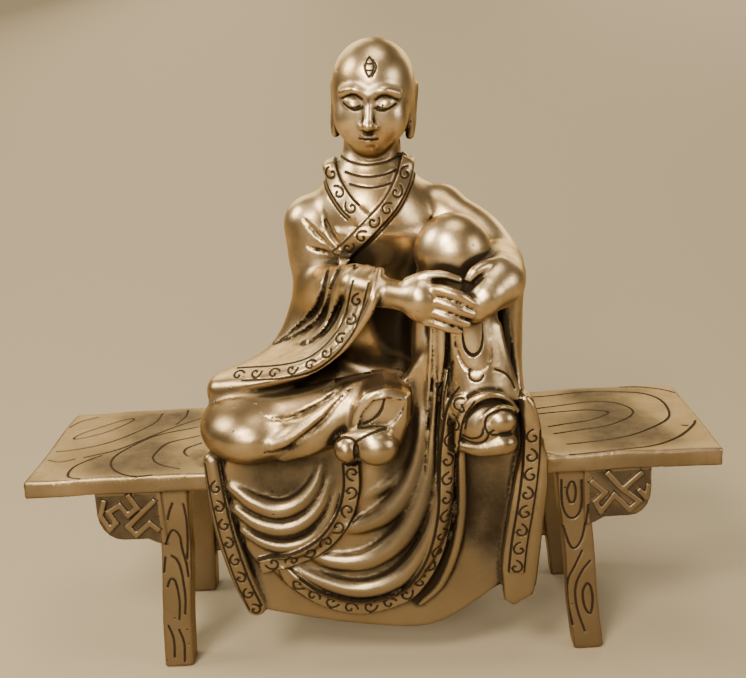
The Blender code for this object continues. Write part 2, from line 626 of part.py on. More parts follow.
def shin_robe(clay):
    clay.add(Tube(ARCH, [1.2, 1.4, 1.5, 1.5, 1.4, 1.2]), 1.0)
    clay.add(Tube([(46, -40, 50), (48.3, -42, 38), (51, -42, 27)], [1.6, 2, 2.2]), 2.5)
    for line, width, depth in (
            ([(31.2, -45, 56), (31.3, -45, 50.5), (32.1, -45, 43.9), (34.5, -46.4, 38.6),
              (38.4, -47.5, 37.2), (42.1, -47, 39.3),
              (43.4, -45, 44.4), (43, -45, 52)], 1.7, -1.0),
            ([(34, -45.5, 54), (34, -45.5, 48.8), (34.8, -46, 44.7), (37, -46.7, 42.6),
              (39.6, -46.7, 44.1), (40.7, -45.4, 48.4),
              (40.6, -45, 54)], 1.3, -0.9),
            ([(29.2, -43, 60), (29, -43.4, 49), (27.8, -44.5, 38.4), (25.6, -45, 26.6), (23.6, -45, 10),
              (23, -45, -8)], 2.4, -1.6),
            ([(24.8, -43, 60), (23.7, -43.4, 38.2), (21.6, -44.2, 19.2), (18.8, -45, -4)], 2.6, -1.5)):
        clay.draw(Trace(line, width, depth, 9, width / 2, tapered=0.45))


LEFT_EDGE = [(-59, 0, 7.4), (-58.6, 0, -7.2), (-56.6, 0, -23), (-52.8, 0, -39.3), (-48.5, 0, -52.6)]
HEM = [(-48.5, 0, -52.6), (-30, 0, -57.5), (-5, 0, -62.5), (18, 0, -64.0), (33.4, 0, -56.5), (47.6, 0, -46)]
RIGHT_EDGE = [(55, 0, -44), (59.6, 0, -28.7), (61, 0, -9.3), (60.5, 0, 5)]
SWAG_HEM = [(-41.2, -43, -37.6), (-27, -43, -34.2), (-15.4, -43, -28), (-7.0, -43, -17.3),
            (-3.5, -43, -6), (-3.0, -43, 4)]
FRONT_BAND = [(34.6, -48.5, 30), (30.6, -48.5, 23.6), (28.4, -47.5, 13), (27.4, -47, 5),
              (26.8, -46.5, -3.9), (26.1, -46.5, -14.2),
              (24, -46.5, -24.8), (20.6, -46, -34.5), (15.4, -46, -43.2), (8.5, -46, -49.4),
              (-6.2, -45, -52.9),
              (-20, -44, -48.8), (-30, -42, -41), (-36, -40, -33)]
PANEL_BAND = [(54.8, -43, 26), (57, -43.5, 14), (56.4, -44, 1), (54.4, -44, -14), (51.8, -44, -29),
              (50.4, -44, -41)]
STRIP_BAND = [(-56.2, -43, 6), (-55.0, -44, -7.4), (-52.8, -44, -23.2), (-49.2, -44, -39.4),
              (-45.4, -43, -52.4)]
BAND_WIDTH = 7.0


def lower_robe(clay):
    back = -36.3
    skirt = outline(smooth(LEFT_EDGE, 3)[:-1], smooth(HEM, 3)[:-1], smooth(RIGHT_EDGE, 3),
                    [(50, 12), (20, 24), (-40, 10)])
    clay.add(Slab(skirt, -39.2, back, 1.0), 0.6)
    # The panel inside the long front band, with its sagging folds.
    front = outline(shifted(FRONT_BAND, BAND_WIDTH / 2 + 0.8), [(-38, -20), (-20, 0), (0, 14), (18, 40),
                                                                (26, 50)])
    clay.add(Slab(front, -41.4, back, 1.2), 0.8)
    for line, radii in (
            ([(27.2, -42.5, 54), (26.8, -43, 27), (25.8, -43, 6), (23.2, -43, -13), (18, -43, -28.5),
              (8, -42.8, -41),
              (-7, -42, -45.5), (-24, -41, -40), (-34, -39, -32)], [1.7, 2.0, 2.3, 2.9, 3.4, 3.7, 3.5,
                                                                    3.0, 2.4]),
            ([(24.4, -41.5, 54), (23.2, -42, 34), (22, -42.3, 14), (20.6, -42.5, 1),
              (16.6, -42.8, -12.8), (9, -42.8, -25.5),
              (-2.5, -42, -33.5), (-16, -41, -34), (-27, -39, -29)], [1.4, 1.7, 2.2, 2.8, 3.8, 4.2, 4.0,
                                                                      3.2, 2.4]),
            ([(19.4, -38, 30), (18.9, -41, 18), (17.0, -42, 5), (11.6, -42.5, -8), (3.6, -42, -16.5),
              (-7, -40.5, -21), (-16, -39, -20)],
             [1.8, 2.3, 2.9, 3.8, 4.0, 3.2, 2.4]),
            ([(17.4, -38, 12), (14.0, -40, 3), (6.5, -41, -5), (-2, -40, -9.5)], [1.2, 1.8, 2.1, 1.6])):
        clay.add(Tube(line, radii), 1.0)
    clay.add(Tube([(22.5, -33, 52), (24, -35, 25), (25, -36, 0)], [6, 7.2, 6]), 1.5)
    clay.draw(Trace(FRONT_BAND, BAND_WIDTH, 2.2, 9, tapered=0.06))
    clay.add(Tube([(33.2, -43.5, 16), (32.2, -44, 5), (31.6, -43.5, -15), (28.8, -43, -31),
                   (23.0, -42.5, -45), (15.2, -42, -53)],
                  [1.0, 1.5, 1.7, 1.7, 1.4, 1]), 1.5)
    # The panel that hangs below the folded knee.
    swag = outline(shifted(SWAG_HEM, -0.6), [(-6, 14), (-48, 12), (-52, 4), (-51, -4), (-49.5, -14),
                                             (-46.5, -28)])
    clay.add(Slab(swag, -42.2, back, 1.2), 0.8)
    for line, radii in (
            ([(-49.8, -41, -3), (-42.4, -43, -8.6), (-34, -43.6, -11.8), (-26.3, -43.4, -9.8),
              (-20.5, -42.6, -4.2), (-17, -41.5, 4)],
             [2.2, 3.2, 3.5, 3.3, 2.8, 1.6]),
            ([(-48.8, -41, -11.8), (-41, -42.8, -17), (-32.2, -43.4, -19), (-24.6, -43.2, -16.8),
              (-18.6, -42.4, -11), (-14.8, -41.5, -2.5)],
             [2.2, 3.1, 3.4, 3.2, 2.7, 1.6]),
            ([(-47, -41.5, -20), (-39.5, -42.2, -25), (-31, -42.6, -26.8), (-22.8, -42.4, -24),
              (-16.4, -42, -17), (-12.6, -41.5, -8)],
             [1.6, 2.5, 2.7, 2.5, 2.2, 1.4])):
        clay.add(Tube(line, radii), 0.8)
    clay.draw(Trace(shifted(SWAG_HEM, BAND_WIDTH / 2), BAND_WIDTH, 2.2, 9))
    # The strip at the far left and the panel at the right.
    clay.add(Tube(np.add(STRIP_BAND, (0, 4, 0)), [3.2, 3.9, 4.3, 4.3, 3.8], (1, 0.75, 1)), 0.6)
    panel = outline([(54.2, 27), (57.4, 23), (60.1, 15), (61, 7), (62.6, 3), (61.5, -10), (59.6, -27),
                     (57.6, -41),
                     (56.8, -50.5), (49.4, -55), (46, -52.5), (45.3, -39), (45.9, -33), (48.2, -19),
                     (51, -4), (53.4, 6)])
    clay.add(Slab(panel, -43.8, back, 1.2), 0.6)
    clay.add(Tube([(59.8, -40.5, 8), (60.4, -41.5, -6), (58.6, -41.8, -20), (57.2, -41.6, -34),
                   (56, -41, -47)],
                  [1.8, 2.4, 2.4, 2.3, 2]), 0.7)
    clay.draw(Trace(PANEL_BAND, BAND_WIDTH, 1.2, 9))


UNDER_COLLAR = [(-10.4, 6, 105.5), (-8.6, -3, 98.5), (-3.8, -7.5, 91), (2.4, -10.5, 84.5)]
OVER_COLLAR = [(19.6, 6, 104.5), (16.9, -3, 97.5), (11.6, -7.5, 89.6), (3.8, -10.5, 82.2),
               (-4.6, -11, 74.4), (-8, -10, 71.6)]


def collar(clay):
    clay.draw(Trace(UNDER_COLLAR, BAND_WIDTH, 1.0, 11))
    clay.draw(Trace(OVER_COLLAR, BAND_WIDTH, 1.9, 11))
    for line, width, depth in (
            ([(-12.8, -5, 88), (-11.2, -8, 82.5), (-8.4, -11, 77.5), (-6.4, -13, 74.6)], 4.2, -2.0),
            ([(-21, -2, 86), (-17.3, -5, 81.4), (-12.9, -8, 77), (-7.4, -12, 73)], 2.2, -1.4),
            ([(-21.8, -4, 76.4), (-16.9, -6.4, 74), (-11.3, -10, 72.6), (-6.5, -13, 71.6)], 2.0, -1.2),
            ([(27.5, -3, 84.5), (25.5, -6, 79)], 2.2, -1.1)):
        clay.draw(Trace(line, width, depth, 12, width / 2, tapered=0.45))


def figure():
    clay = Clay()
    torso(clay)
    back_robe(clay)
    legs(clay)
    knee_folds(clay)
    left_arm(clay)
    right_arm(clay)
    sleeve(clay)
    collar(clay)
    lower_robe(clay)
    shin_robe(clay)
    right_shoe(clay)
    left_shoe(clay)
    hands(clay)
    clay.add(head(), 0.8)
    return clay


# The surface of the clay as a mesh


def surface(field, low, high, step, coarse=4):
    """Points and quads of the zero level: a wide grid finds it, then the cells near it are measured."""
    wide = step * coarse
    counts = np.ceil((high - low) / wide).astype(int) + 1
    axes = [low[k] + wide * np.arange(counts[k]) for k in range(3)]
    grid = np.stack(np.meshgrid(*axes, indexing="ij"), -1)
    fine = field.distance(grid.reshape(-1, 3)).reshape(counts)
    for axis in range(3):
        share = np.arange((counts[axis] - 1) * coarse + 1) / coarse
        cell = np.minimum(share.astype(int), counts[axis] - 2)
        share = (share - cell).reshape([-1 if k == axis else 1 for k in range(3)])
        fine = np.take(fine, cell, axis) * (1 - share) + np.take(fine, cell + 1, axis) * share
    near = np.argwhere(np.abs(fine) < wide)
    fine = np.clip(fine, -wide, wide)
    fine[tuple(near.T)] = np.clip(field.distance(low + near * step), -wide, wide)
    volume = openvdb.FloatGrid(wide)
    volume.copyFromArray(np.ascontiguousarray(fine, np.float32))
    points, quads = volume.convertToQuads(0.0)
    return points * step + low, quads


def outer_shell(points, quads):
    """The largest connected shell, without inner voids."""
    label = np.arange(len(points))
    while True:
        lowest = label[quads].min(1)
        after = label.copy()
        np.minimum.at(after, quads.ravel(), np.repeat(lowest, 4))
        after = after[after]
        if (after == label).all():
            break
        label = after
    kept = label == np.bincount(label).argmax()
    number = np.cumsum(kept) - 1
    return points[kept], number[quads[kept[quads].all(1)]]


def settled(field, points, rounds=2, probe=0.2):
    """Moves each point onto the zero level along the slope of the field."""
    for _ in range(rounds):
        here = field.distance(points)
        slope = np.stack([field.distance(points + probe * axis) - here for axis in np.eye(3)], 1) / probe
        length = np.maximum((slope**2).sum(1), 0.25)
        points = points - np.clip(here / length, -0.6, 0.6)[:, None] * slope
    return points


def seat_cutter():
    """The room that the figure leaves to the plank and to everything behind its front edge."""
    reach = BENCH_LENGTH
    room = rectangle(PLANK_FRONT - SEAT_GAP, reach, -reach, BENCH_HEIGHT + SEAT_GAP)
    mesh = bpy.data.meshes.new("seat_cutter")
    corners = [(x, u, v) for x in (-reach, reach) for u, v in room]
    sides = [(i, (i + 1) % 4, (i + 1) % 4 + 4, i + 4) for i in range(4)]
    mesh.from_pydata(corners, [], [(3, 2, 1, 0), (4, 5, 6, 7)] + sides)
    cutter = bpy.data.objects.new("seat_cutter", mesh)
    bpy.context.scene.collection.objects.link(cutter)
    return helper(cutter)


def keep_fine(made, points):
    """A vertex group that gives the face, the hands and the shoes smaller facets than the robe."""
    group = made.vertex_groups.new(name="fine")
    fine = np.zeros(len(points), bool)
    for low, high in FINE_REGIONS:
        fine |= ((points > low) & (points < high)).all(1)
    group.add(np.flatnonzero(~fine).tolist(), 1.0, "REPLACE")
    group.add(np.flatnonzero(fine).tolist(), 0.5, "REPLACE")


def cast_figure():
    field = figure()
    low = np.array([-68.0, -66.0, -70.0])
    high = np.array([68.0, 38.0, 152.0])
    points, quads = outer_shell(*surface(field, low, high, CLAY_STEP))
    field_points = settled(field, points)
    size = FIGURE_HEIGHT / CLAY_HEIGHT
    placed = (field_points - (0, CLAY_FRONT, 0)) * size + (0, PLANK_FRONT, BENCH_HEIGHT)
    mesh = bpy.data.meshes.new("arhat_figure")
    mesh.from_pydata(placed.tolist(), [], quads.tolist())
    mesh.shade_smooth()
    made = new_object("arhat_figure", mesh, FIGURE_BRONZE)
    keep_fine(made, field_points)
    thin = made.modifiers.new("facets", "DECIMATE")
    thin.ratio = FIGURE_TRIANGLES / (2 * len(quads))
    thin.vertex_group = "fine"
    thin.vertex_group_factor = FINE_FACTOR
    cut = made.modifiers.new("seat", "BOOLEAN")
    cut.operation = "DIFFERENCE"
    cut.object = seat_cutter()
    cut.solver = "EXACT"
    return made


seated = cast_figure()
carrier = bench()
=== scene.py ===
import bpy
import numpy as np
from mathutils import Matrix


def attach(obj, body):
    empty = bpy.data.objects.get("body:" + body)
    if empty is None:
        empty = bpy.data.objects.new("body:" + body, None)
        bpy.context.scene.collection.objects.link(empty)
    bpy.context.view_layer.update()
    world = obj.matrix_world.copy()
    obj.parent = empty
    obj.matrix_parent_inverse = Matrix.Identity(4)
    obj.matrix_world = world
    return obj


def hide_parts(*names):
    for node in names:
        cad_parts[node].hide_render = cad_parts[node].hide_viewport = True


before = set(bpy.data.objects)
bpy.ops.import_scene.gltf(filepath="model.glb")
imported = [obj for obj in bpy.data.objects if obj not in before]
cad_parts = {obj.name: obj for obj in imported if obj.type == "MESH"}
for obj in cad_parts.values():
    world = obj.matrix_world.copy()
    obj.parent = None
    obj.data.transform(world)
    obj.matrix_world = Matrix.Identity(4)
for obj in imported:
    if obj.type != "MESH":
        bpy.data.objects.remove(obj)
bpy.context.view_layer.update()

import openvdb
from mathutils import Matrix, Vector

# The clay: shapes measured by their distance, in millimetres. The seat is at z = 0 and the
# plank's front edge at y = CLAY_FRONT; the figure faces -Y.

CLAY_FRONT = -36.0
CLAY_PLACE = (0, 11.25, 80.0)  # where the clay's origin stands in the row frame

FAR = 30.0
PAD = 6.0
BLOCK = 9.0


def smooth(points, per_span=5):
    """Points along a smooth line that passes through the given ones."""
    given = np.asarray(points, float)
    ends = np.vstack([2 * given[0] - given[1], given, 2 * given[-1] - given[-2]])
    t = (np.arange(per_span) / per_span)[:, None]
    spans = []
    for a, b, c, d in zip(ends, ends[1:], ends[2:], ends[3:]):
        bend = 2 * a - 5 * b + 4 * c - d
        turn = -a + 3 * b - 3 * c + d
        spans.append(0.5 * (2 * b + (c - a) * t + bend * t**2 + turn * t**3))
    return np.vstack(spans + [given[-1:]])


def even(points, count=5):
    """The same line with a given number of evenly spaced points."""
    line = smooth(points)
    along = np.r_[0, np.cumsum(np.linalg.norm(np.diff(line, axis=0), axis=1))]
    wanted = np.linspace(0, along[-1], count)
    return np.column_stack([np.interp(wanted, along, column) for column in line.T])


def family(first, last, count):
    """Lines that change step by step from the first to the last, both counted."""
    first, last = even(first), even(last)
    return [first + (last - first) * share for share in np.linspace(0, 1, count)]


class Ball:
    def __init__(self, centre, radii, turn=None):
        self.centre = np.array(centre, float)
        self.radii = np.broadcast_to(np.array(radii, float), 3)
        self.turn = turn
        reach = self.radii if turn is None else np.full(3, self.radii.max())
        self.low, self.high = self.centre - reach, self.centre + reach

    def distance(self, p):
        q = p - self.centre
        if self.turn is not None:
            q = q @ self.turn
        q = q / self.radii
        near = np.sqrt((q * q).sum(1))
        slope = np.sqrt(((q / self.radii) ** 2).sum(1))
        return near * (near - 1) / np.maximum(slope, 1e-6)


class Tube:
    """A round rod of changing thickness along a smooth line; flat squeezes it along x, y or z."""

    def __init__(self, points, radii, flat=(1, 1, 1)):
        points = np.asarray(points, float)
        radii = np.broadcast_to(np.asarray(radii, float), len(points))
        line = smooth(np.column_stack([points, radii]))
        self.flat = np.array(flat, float)
        self.line = line[:, :3] / self.flat
        self.radius = line[:, 3]
        reach = self.radius[:, None] * self.flat
        self.low = (line[:, :3] - reach).min(0)
        self.high = (line[:, :3] + reach).max(0)

    def distance(self, p):
        start, run = self.line[:-1], np.diff(self.line, axis=0)
        off = (p / self.flat)[:, None] - start
        t = np.clip((off * run).sum(2) / (run * run).sum(1), 0, 1)
        off -= t[..., None] * run
        radius = self.radius[:-1] + t * np.diff(self.radius)
        return (np.sqrt((off * off).sum(2)) - radius).min(1) * self.flat.min()


class Slab:
    """An outline seen from the front, between two depths, with a rounded edge."""

    plane, deep = [0, 2], 1

    def __init__(self, outline, front, back, rounding=1.2):
        self.outline = np.asarray(outline, float)
        self.middle, self.half = (front + back) / 2, (back - front) / 2 - rounding
        self.rounding = rounding
        self.low, self.high = np.full(3, float(front)), np.full(3, float(back))
        self.low[self.plane], self.high[self.plane] = self.outline.min(0), self.outline.max(0)

    def distance(self, p):
        q = p[:, self.plane]
        run = np.roll(self.outline, -1, 0) - self.outline
        off = q[:, None] - self.outline
        t = np.clip((off * run).sum(2) / (run * run).sum(1), 0, 1)
        best = ((off - t[..., None] * run) ** 2).sum(2).min(1)
        ends = self.outline[:, 1] + run[:, 1]
        spans = (self.outline[:, 1] > q[:, 1:]) != (ends > q[:, 1:])
        slope = run[:, 0] / np.where(run[:, 1] == 0, 1, run[:, 1])
        inside = (spans & (off[..., 0] < off[..., 1] * slope)).sum(1) % 2 == 1
        flat = np.sqrt(best) * np.where(inside, -1, 1) + self.rounding
        thick = np.abs(p[:, self.deep] - self.middle) - self.half
        out = np.sqrt(np.maximum(flat, 0) ** 2 + np.maximum(thick, 0) ** 2)
        return out + np.minimum(np.maximum(flat, thick), 0) - self.rounding


class Trace:
    """A line drawn on the surface as seen from the front; it raises a flat band or cuts a groove.

    A tapered line grows from nothing over that share of its length at both ends.
    """

    plane, deep = [0, 2], 1

    def __init__(self, points, width, rise, reach=9.0, edge=1.0, per_span=5, tapered=0):
        self.line = smooth(points, per_span)
        self.width, self.rise, self.reach, self.edge, self.tapered = width, rise, reach, edge, tapered
        grow = np.full(3, float(width))
        grow[self.deep] = reach
        self.low, self.high = self.line.min(0) - grow, self.line.max(0) + grow

    def gap(self, p):
        """How far each point is from the line's edge and from its depth, and the line's size there."""
        start, run = self.line[:-1, self.plane], np.diff(self.line[:, self.plane], axis=0)
        off = p[:, None, self.plane] - start
        t = np.clip((off * run).sum(2) / np.maximum((run * run).sum(1), 1e-9), 0, 1)
        gap = ((off - t[..., None] * run) ** 2).sum(2)
        nearest = gap.argmin(1)
        share = t[np.arange(len(p)), nearest]
        depth = self.line[nearest, self.deep] + share * np.diff(self.line[:, self.deep])[nearest]
        along = (nearest + share) / len(start)
        size = np.clip(np.minimum(along, 1 - along) / max(self.tapered, 1e-9), 0.01, 1) ** 0.7
        return np.sqrt(gap.min(1)) - self.width / 2 * size, np.abs(p[:, self.deep] - depth), size

    def height(self, p):
        beside, behind, size = self.gap(p)
        side = np.clip(-beside / (self.edge * size), 0, 1)
        fade = np.clip((self.reach - behind) / 2, 0, 1)
        return self.rise * size * side * side * (3 - 2 * side) * fade


def blended(a, b, width):
    """The smaller of two distances, with a rounded corner between them."""
    h = np.maximum(width - np.abs(a - b), 0) / width
    return np.minimum(a, b) - h * h * width / 4


def blocks(p):
    """Groups of neighbouring points, so that only the shapes near a group are measured for it."""
    if not len(p):
        return []
    cell = np.floor(p / BLOCK).astype(int)
    key = (cell[:, 0] * 1000 + cell[:, 1]) * 1000 + cell[:, 2]
    order = np.argsort(key, kind="stable")
    return np.split(order, np.flatnonzero(np.diff(key[order])) + 1)


class Clay:
    """A body built up by adding and cutting shapes in turn. A frame places it: (middle, turn)."""

    def __init__(self, middle=(0, 0, 0), turn=np.eye(3)):
        self.middle, self.turn = np.array(middle, float), np.array(turn, float)
        self.steps = []
        self.boxes = None

    def add(self, shape, blend=1.5):
        self.steps.append(("add", shape, blend))

    def cut(self, shape, blend=0.8):
        self.steps.append(("cut", shape, blend))

    def draw(self, trace):
        self.steps.append(("draw", trace, 0))

    def distance(self, p):
        p = (p - self.middle) @ self.turn
        if self.boxes is None or len(self.boxes[0]) != len(self.steps):
            lows, highs = zip(*((shape.low, shape.high) for _, shape, _ in self.steps))
            self.boxes = np.array(lows) - PAD, np.array(highs) + PAD
        lows, highs = self.boxes
        found = np.full(len(p), FAR)
        for block in blocks(p):
            q = p[block]
            here = np.full(len(q), FAR)
            for index in np.flatnonzero(((lows < q.max(0)) & (highs > q.min(0))).all(1)):
                kind, shape, blend = self.steps[index]
                if kind == "add":
                    here = blended(here, shape.distance(q), blend)
                elif kind == "cut":
                    here = -blended(-here, shape.distance(q), blend)
                else:
                    here = here - shape.height(q)
            found[block] = here
        return found

    @property
    def low(self):
        return self._corners().min(0)

    @property
    def high(self):
        return self._corners().max(0)

    def _corners(self):
        lows = np.array([s.low for k, s, _ in self.steps if k == "add"]).min(0)
        highs = np.array([s.high for k, s, _ in self.steps if k == "add"]).max(0)
        box = np.array([[(lows, highs)[i][0], (lows, highs)[j][1], (lows, highs)[k][2]]
                        for i in (0, 1) for j in (0, 1) for k in (0, 1)])
        return box @ self.turn.T + self.middle


# The figure


def turned(lean, nod, turn):
    """The rotation of a head that leans to +x, nods forward and turns to +x, in degrees."""
    lean, nod, turn = np.radians([lean, nod, turn])
    about_y = np.array([[np.cos(lean), 0, np.sin(lean)], [0, 1, 0], [-np.sin(lean), 0, np.cos(lean)]])
    about_x = np.array([[1, 0, 0], [0, np.cos(nod), -np.sin(nod)], [0, np.sin(nod), np.cos(nod)]])
    about_z = np.array([[np.cos(turn), -np.sin(turn), 0], [np.sin(turn), np.cos(turn), 0], [0, 0, 1]])
    return about_y @ about_x @ about_z


def shifted(line, sideways):
    """A line moved in the plane of x and z, to the left of its own direction seen from the front."""
    line = smooth(line, 3)
    run = np.gradient(line, axis=0)[:, [0, 2]]
    run /= np.linalg.norm(run, axis=1)[:, None]
    return line + sideways * np.column_stack([-run[:, 1], np.zeros(len(run)), run[:, 0]])


def outline(*pieces):
    """The x and z of several lines, end to end."""
    return np.vstack([np.asarray(piece)[:, [0, -1]] for piece in pieces])


def head():
    clay = Clay((7.6, 6.0, 126.5), turned(3.7, 7, -5))
    clay.add(Ball((0, 2.0, 5.5), (15.0, 17.2, 15.4)), 1)
    clay.add(Ball((0, 1.5, -1.5), (14.2, 15.5, 13.0)), 4)
    clay.add(Ball((0, -3.0, -7.0), (12.2, 12.2, 12.0)), 4)
    clay.add(Ball((0, -9.5, -14.5), (6.0, 5.2, 5.2)), 5)
    clay.add(Tube([(0, -14.0, 4.0), (0, -15.9, -1.5), (0, -17.6, -6.2)], [1.2, 1.45, 1.6]), 1.8)
    for side in (-1, 1):
        clay.add(Ball((side * 7.2, -8.3, -6.5), (5.2, 5.2, 6.5)), 4)
        clay.add(Tube([(side * 1.8, -15.2, 3.2), (side * 5.4, -15.2, 4.9), (side * 10.2, -11.6, 3.6)],
                      [0.8, 1.2, 0.9]), 3)
        clay.cut(Ball((side * 5.7, -18.2, 1.2), (4.6, 3.6, 2.9)), 2.5)
        clay.add(Ball((side * 5.6, -11.3, 0.5), (4.2, 3.9, 3.0)), 0.8)
        clay.add(Tube([(side * 2.1, -14.2, 0.3), (side * 5.6, -15.3, -0.3), (side * 9.1, -12.4, 0.5)],
                      [0.35, 0.5, 0.35]), 0.5)
        clay.add(Ball((side * 2.1, -15.2, -7.4), (1.7, 2.0, 1.4)), 1)
        ear = side * 14.5
        clay.add(Tube([(ear, 1.5, 3.4), (ear * 1.02, 4.3, 4.6), (ear * 1.03, 6.2, 1.5), (ear, 4.6, -4.0),
                       (ear * 0.97, 2.2, -9.5), (ear * 0.95, 0.6, -13.4)],
                       [1.2, 1.3, 1.4, 1.5, 1.9, 1.7]), 0.8)
        clay.add(Tube([(ear * 0.97, 0.8, 2.8), (ear * 0.98, 0.6, -4.0), (ear * 0.95, 0.4, -11)],
                      [1.0, 1.1, 1.5]), 0.8)
        clay.add(Ball((ear * 0.93, 3.0, -3.0), (1.3, 3.4, 8.0)), 1.2)
    clay.add(Ball((0, -17.6, -7.0), (2.0, 2.3, 1.7)), 1.2)
    clay.add(Tube([(-3.6, -13.0, -11.6), (-1.1, -15.3, -11.1), (0, -15.2, -11.35), (1.1, -15.3, -11.1),
                   (3.6, -13.0, -11.6)], [0.5, 1.0, 0.9, 1.0, 0.5]), 0.9)
    clay.add(Tube([(-3.0, -13.0, -13.1), (0, -14.9, -13.3), (3.0, -13.0, -13.1)], [0.5, 1.15, 0.5]), 0.9)
    return clay


def torso(clay):
    clay.add(Ball((6, 6, 12), (37, 25, 20)), 1)
    clay.add(Ball((5, 5, 40), (25, 20, 26)), 6)
    clay.add(Ball((4.5, 6, 72), (26.5, 16, 23)), 6)
    clay.add(Ball((17, 3, 76), (12, 14, 12)), 5)
    clay.add(Tube([(-17, 8, 81), (6, 9, 86), (30, 9, 83)], 10.3), 5)
    clay.add(Tube([(5, 9, 80), (5.2, 9, 92), (5.6, 8.5, 99.5)], [24, 17, 13.0]), 4)
    clay.add(Tube([(5.6, 8.5, 93), (6.3, 8.5, 109)], [11.4, 10.6]), 0.8)


def back_robe(clay):
    """The plain robe behind: it hangs from the shoulders in a few soft folds and spreads on the seat."""
    clay.add(Ball((5, 8, 48), (25, 15, 40)), 6)
    clay.add(Ball((5, 12, 70), (21, 13.5, 26)), 9)
    clay.add(Ball((4, 8, 8), (43, 21, 28)), 8)
    for turn in np.radians(np.linspace(-88, 88, 9)):
        side, back = np.sin(turn), np.cos(turn)
        fold = [(5 + 19 * side, 9 + 6 * back, 84), (5 + 22 * side, 8 + 9 * back, 60),
                (5 + 26 * side, 7 + 11 * back, 34),
                (5 + 36 * side, 4 + 17 * back, -3)]
        clay.add(Tube(fold, [6.5, 7.5, 8, 8.5]), 2.5)
    # What fills the lap and the space under the arms.
    clay.add(Ball((10, -16, 4), (30, 24, 17)), 5)
    clay.add(Tube([(-18, 4, 52), (-24, 4, 34), (-34, 0, 14)], [9, 11, 15]), 5)
    clay.add(Tube([(37, 2, 62), (40, -4, 40), (41, -6, 12)], [11, 13, 15]), 5)
    clay.add(Tube([(46, -18, 50), (46, -22, 30), (46, -24, 2)], [7, 8, 11]), 5)
    clay.add(Ball((34, -6, 66), (10, 12, 12)), 5)
    clay.add(Tube([(-9.6, 3, 102), (-9.2, 11, 101.6), (-3.5, 17.5, 100.8), (5, 20, 100.2),
                   (13.5, 17.5, 100.4), (18.2, 11, 101),
                   (18.4, 3, 101.4)], [1.6, 2.2, 2.8, 3, 2.8, 2.2, 1.6]), 2.5)


def legs(clay):
    # The right leg lies folded across, its knee to -x.
    clay.add(Tube([(-2, 0, 14), (-22, -9, 14.5), (-41, -21, 15)], [18, 17, 14.5]), 4)
    clay.add(Ball((-41.5, -26, 15), (19.8, 24.5, 13.2)), 4)
    clay.add(Tube([(-42, -27, 15), (-24, -36.5, 18), (-8, -38, 22.5), (7, -38, 25.5)],
                  [13.0, 12.0, 11.4, 10]), 4)
    # The left leg is raised, its foot below the knee.
    clay.add(Tube([(24, 4, 20), (29, -14, 46), (32, -30, 70)], [17, 14, 11.5]), 4)
    clay.add(Tube([(32.6, -34, 72), (36, -35, 54), (39, -36, 38), (39.8, -37, 26)],
                  [11, 10.8, 11.5, 13]), 3)
    clay.add(Ball((32.4, -34, 76), (13.2, 12.6, 13.4)), 1.5)


def knee_folds(clay):
    """Ridges and creases that run from the lap over the folded shin to the knee."""
    clay.add(Tube([(-3, -40, 31.5), (-13, -44.5, 25), (-24, -47.5, 18), (-33, -48.5, 14.5)],
                  [3.4, 3.8, 3.2, 2]), 2)
    clay.add(Tube([(2, -40, 31), (-9, -45.5, 22.5), (-19, -46.5, 13.5), (-30, -44, 7.5)],
                  [2.2, 3, 3.4, 1.2]), 2.5)
    clay.add(Tube([(12, -36, 34), (2, -36, 33.5), (-8, -36, 31), (-20, -34, 27)], [1.8, 2.2, 2.2, 1.5]), 2)
    for line, width in (([(-4, -40, 35.5), (-12.2, -44, 29.9), (-19.8, -46.5, 25.8),
                          (-28.8, -46.5, 22.8), (-38, -45, 23.6)], 2.4),
                        ([(-2.6, -42, 34), (-9.6, -47, 28.4), (-15, -49, 22.8), (-22.6, -50, 17.4),
                          (-31, -48, 12), (-39, -48, 12.6)], 3.0),
                        ([(4, -38, 35.4), (-6, -41, 34.4), (-15, -42, 30.8)], 2.0),
                        ([(9, -36, 36), (-1, -38, 36.4), (-9, -40, 35.6)], 1.6)):
        clay.draw(Trace(line, width, -1.5, 9, width / 2, tapered=0.45))


def right_arm(clay):
    clay.add(Tube([(-17.5, 7, 81), (-17, 5, 68), (-14, 2, 55)], [10.4, 10.4, 10]), 4)
    clay.add(Tube([(-14, 2, 55), (-9, -16, 60), (-2, -31, 65.5)], [10, 8.5, 6.5]), 4)


SLEEVE_BACK = [(-17, 2, 58), (-19.5, 2, 47), (-26, 0, 36.5), (-38, -5, 29), (-51, -12, 24)]
SLEEVE_EDGE = [(7.4, -41, 72), (5.2, -48.5, 66), (3.0, -48.5, 60.5), (-1.5, -46.5, 53.5),
               (-9, -44.5, 45.5), (-20, -41.5, 38.3),
               (-36.5, -35, 32.5), (-54, -27, 28.5)]
SLEEVE_RIBS = (6, 5.5, 4.8, 4.2, 3.6, 2.8)
SLEEVE_GROOVES = (
    [(4.2, -40, 73.2), (-0.6, -38, 72.2), (-3.6, -38, 68.6), (-6.6, -34, 60), (-9.8, -33, 53),
     (-13.8, -32, 47.6), (-20, -28, 43.4),
     (-29, -23, 39.6)],
    [(-3.8, -35, 72.4), (-7.2, -32, 69.6), (-9.8, -31, 64), (-12, -26, 57.2), (-14.8, -24, 51),
     (-20.4, -19, 45.4), (-28, -13, 41),
     (-37, -10, 37)],
    [(-8.2, -24, 72.6), (-11.4, -25, 67.4), (-13.4, -24, 61), (-17, -17, 53), (-24, -10, 45.4),
     (-33, -6, 39)],
)


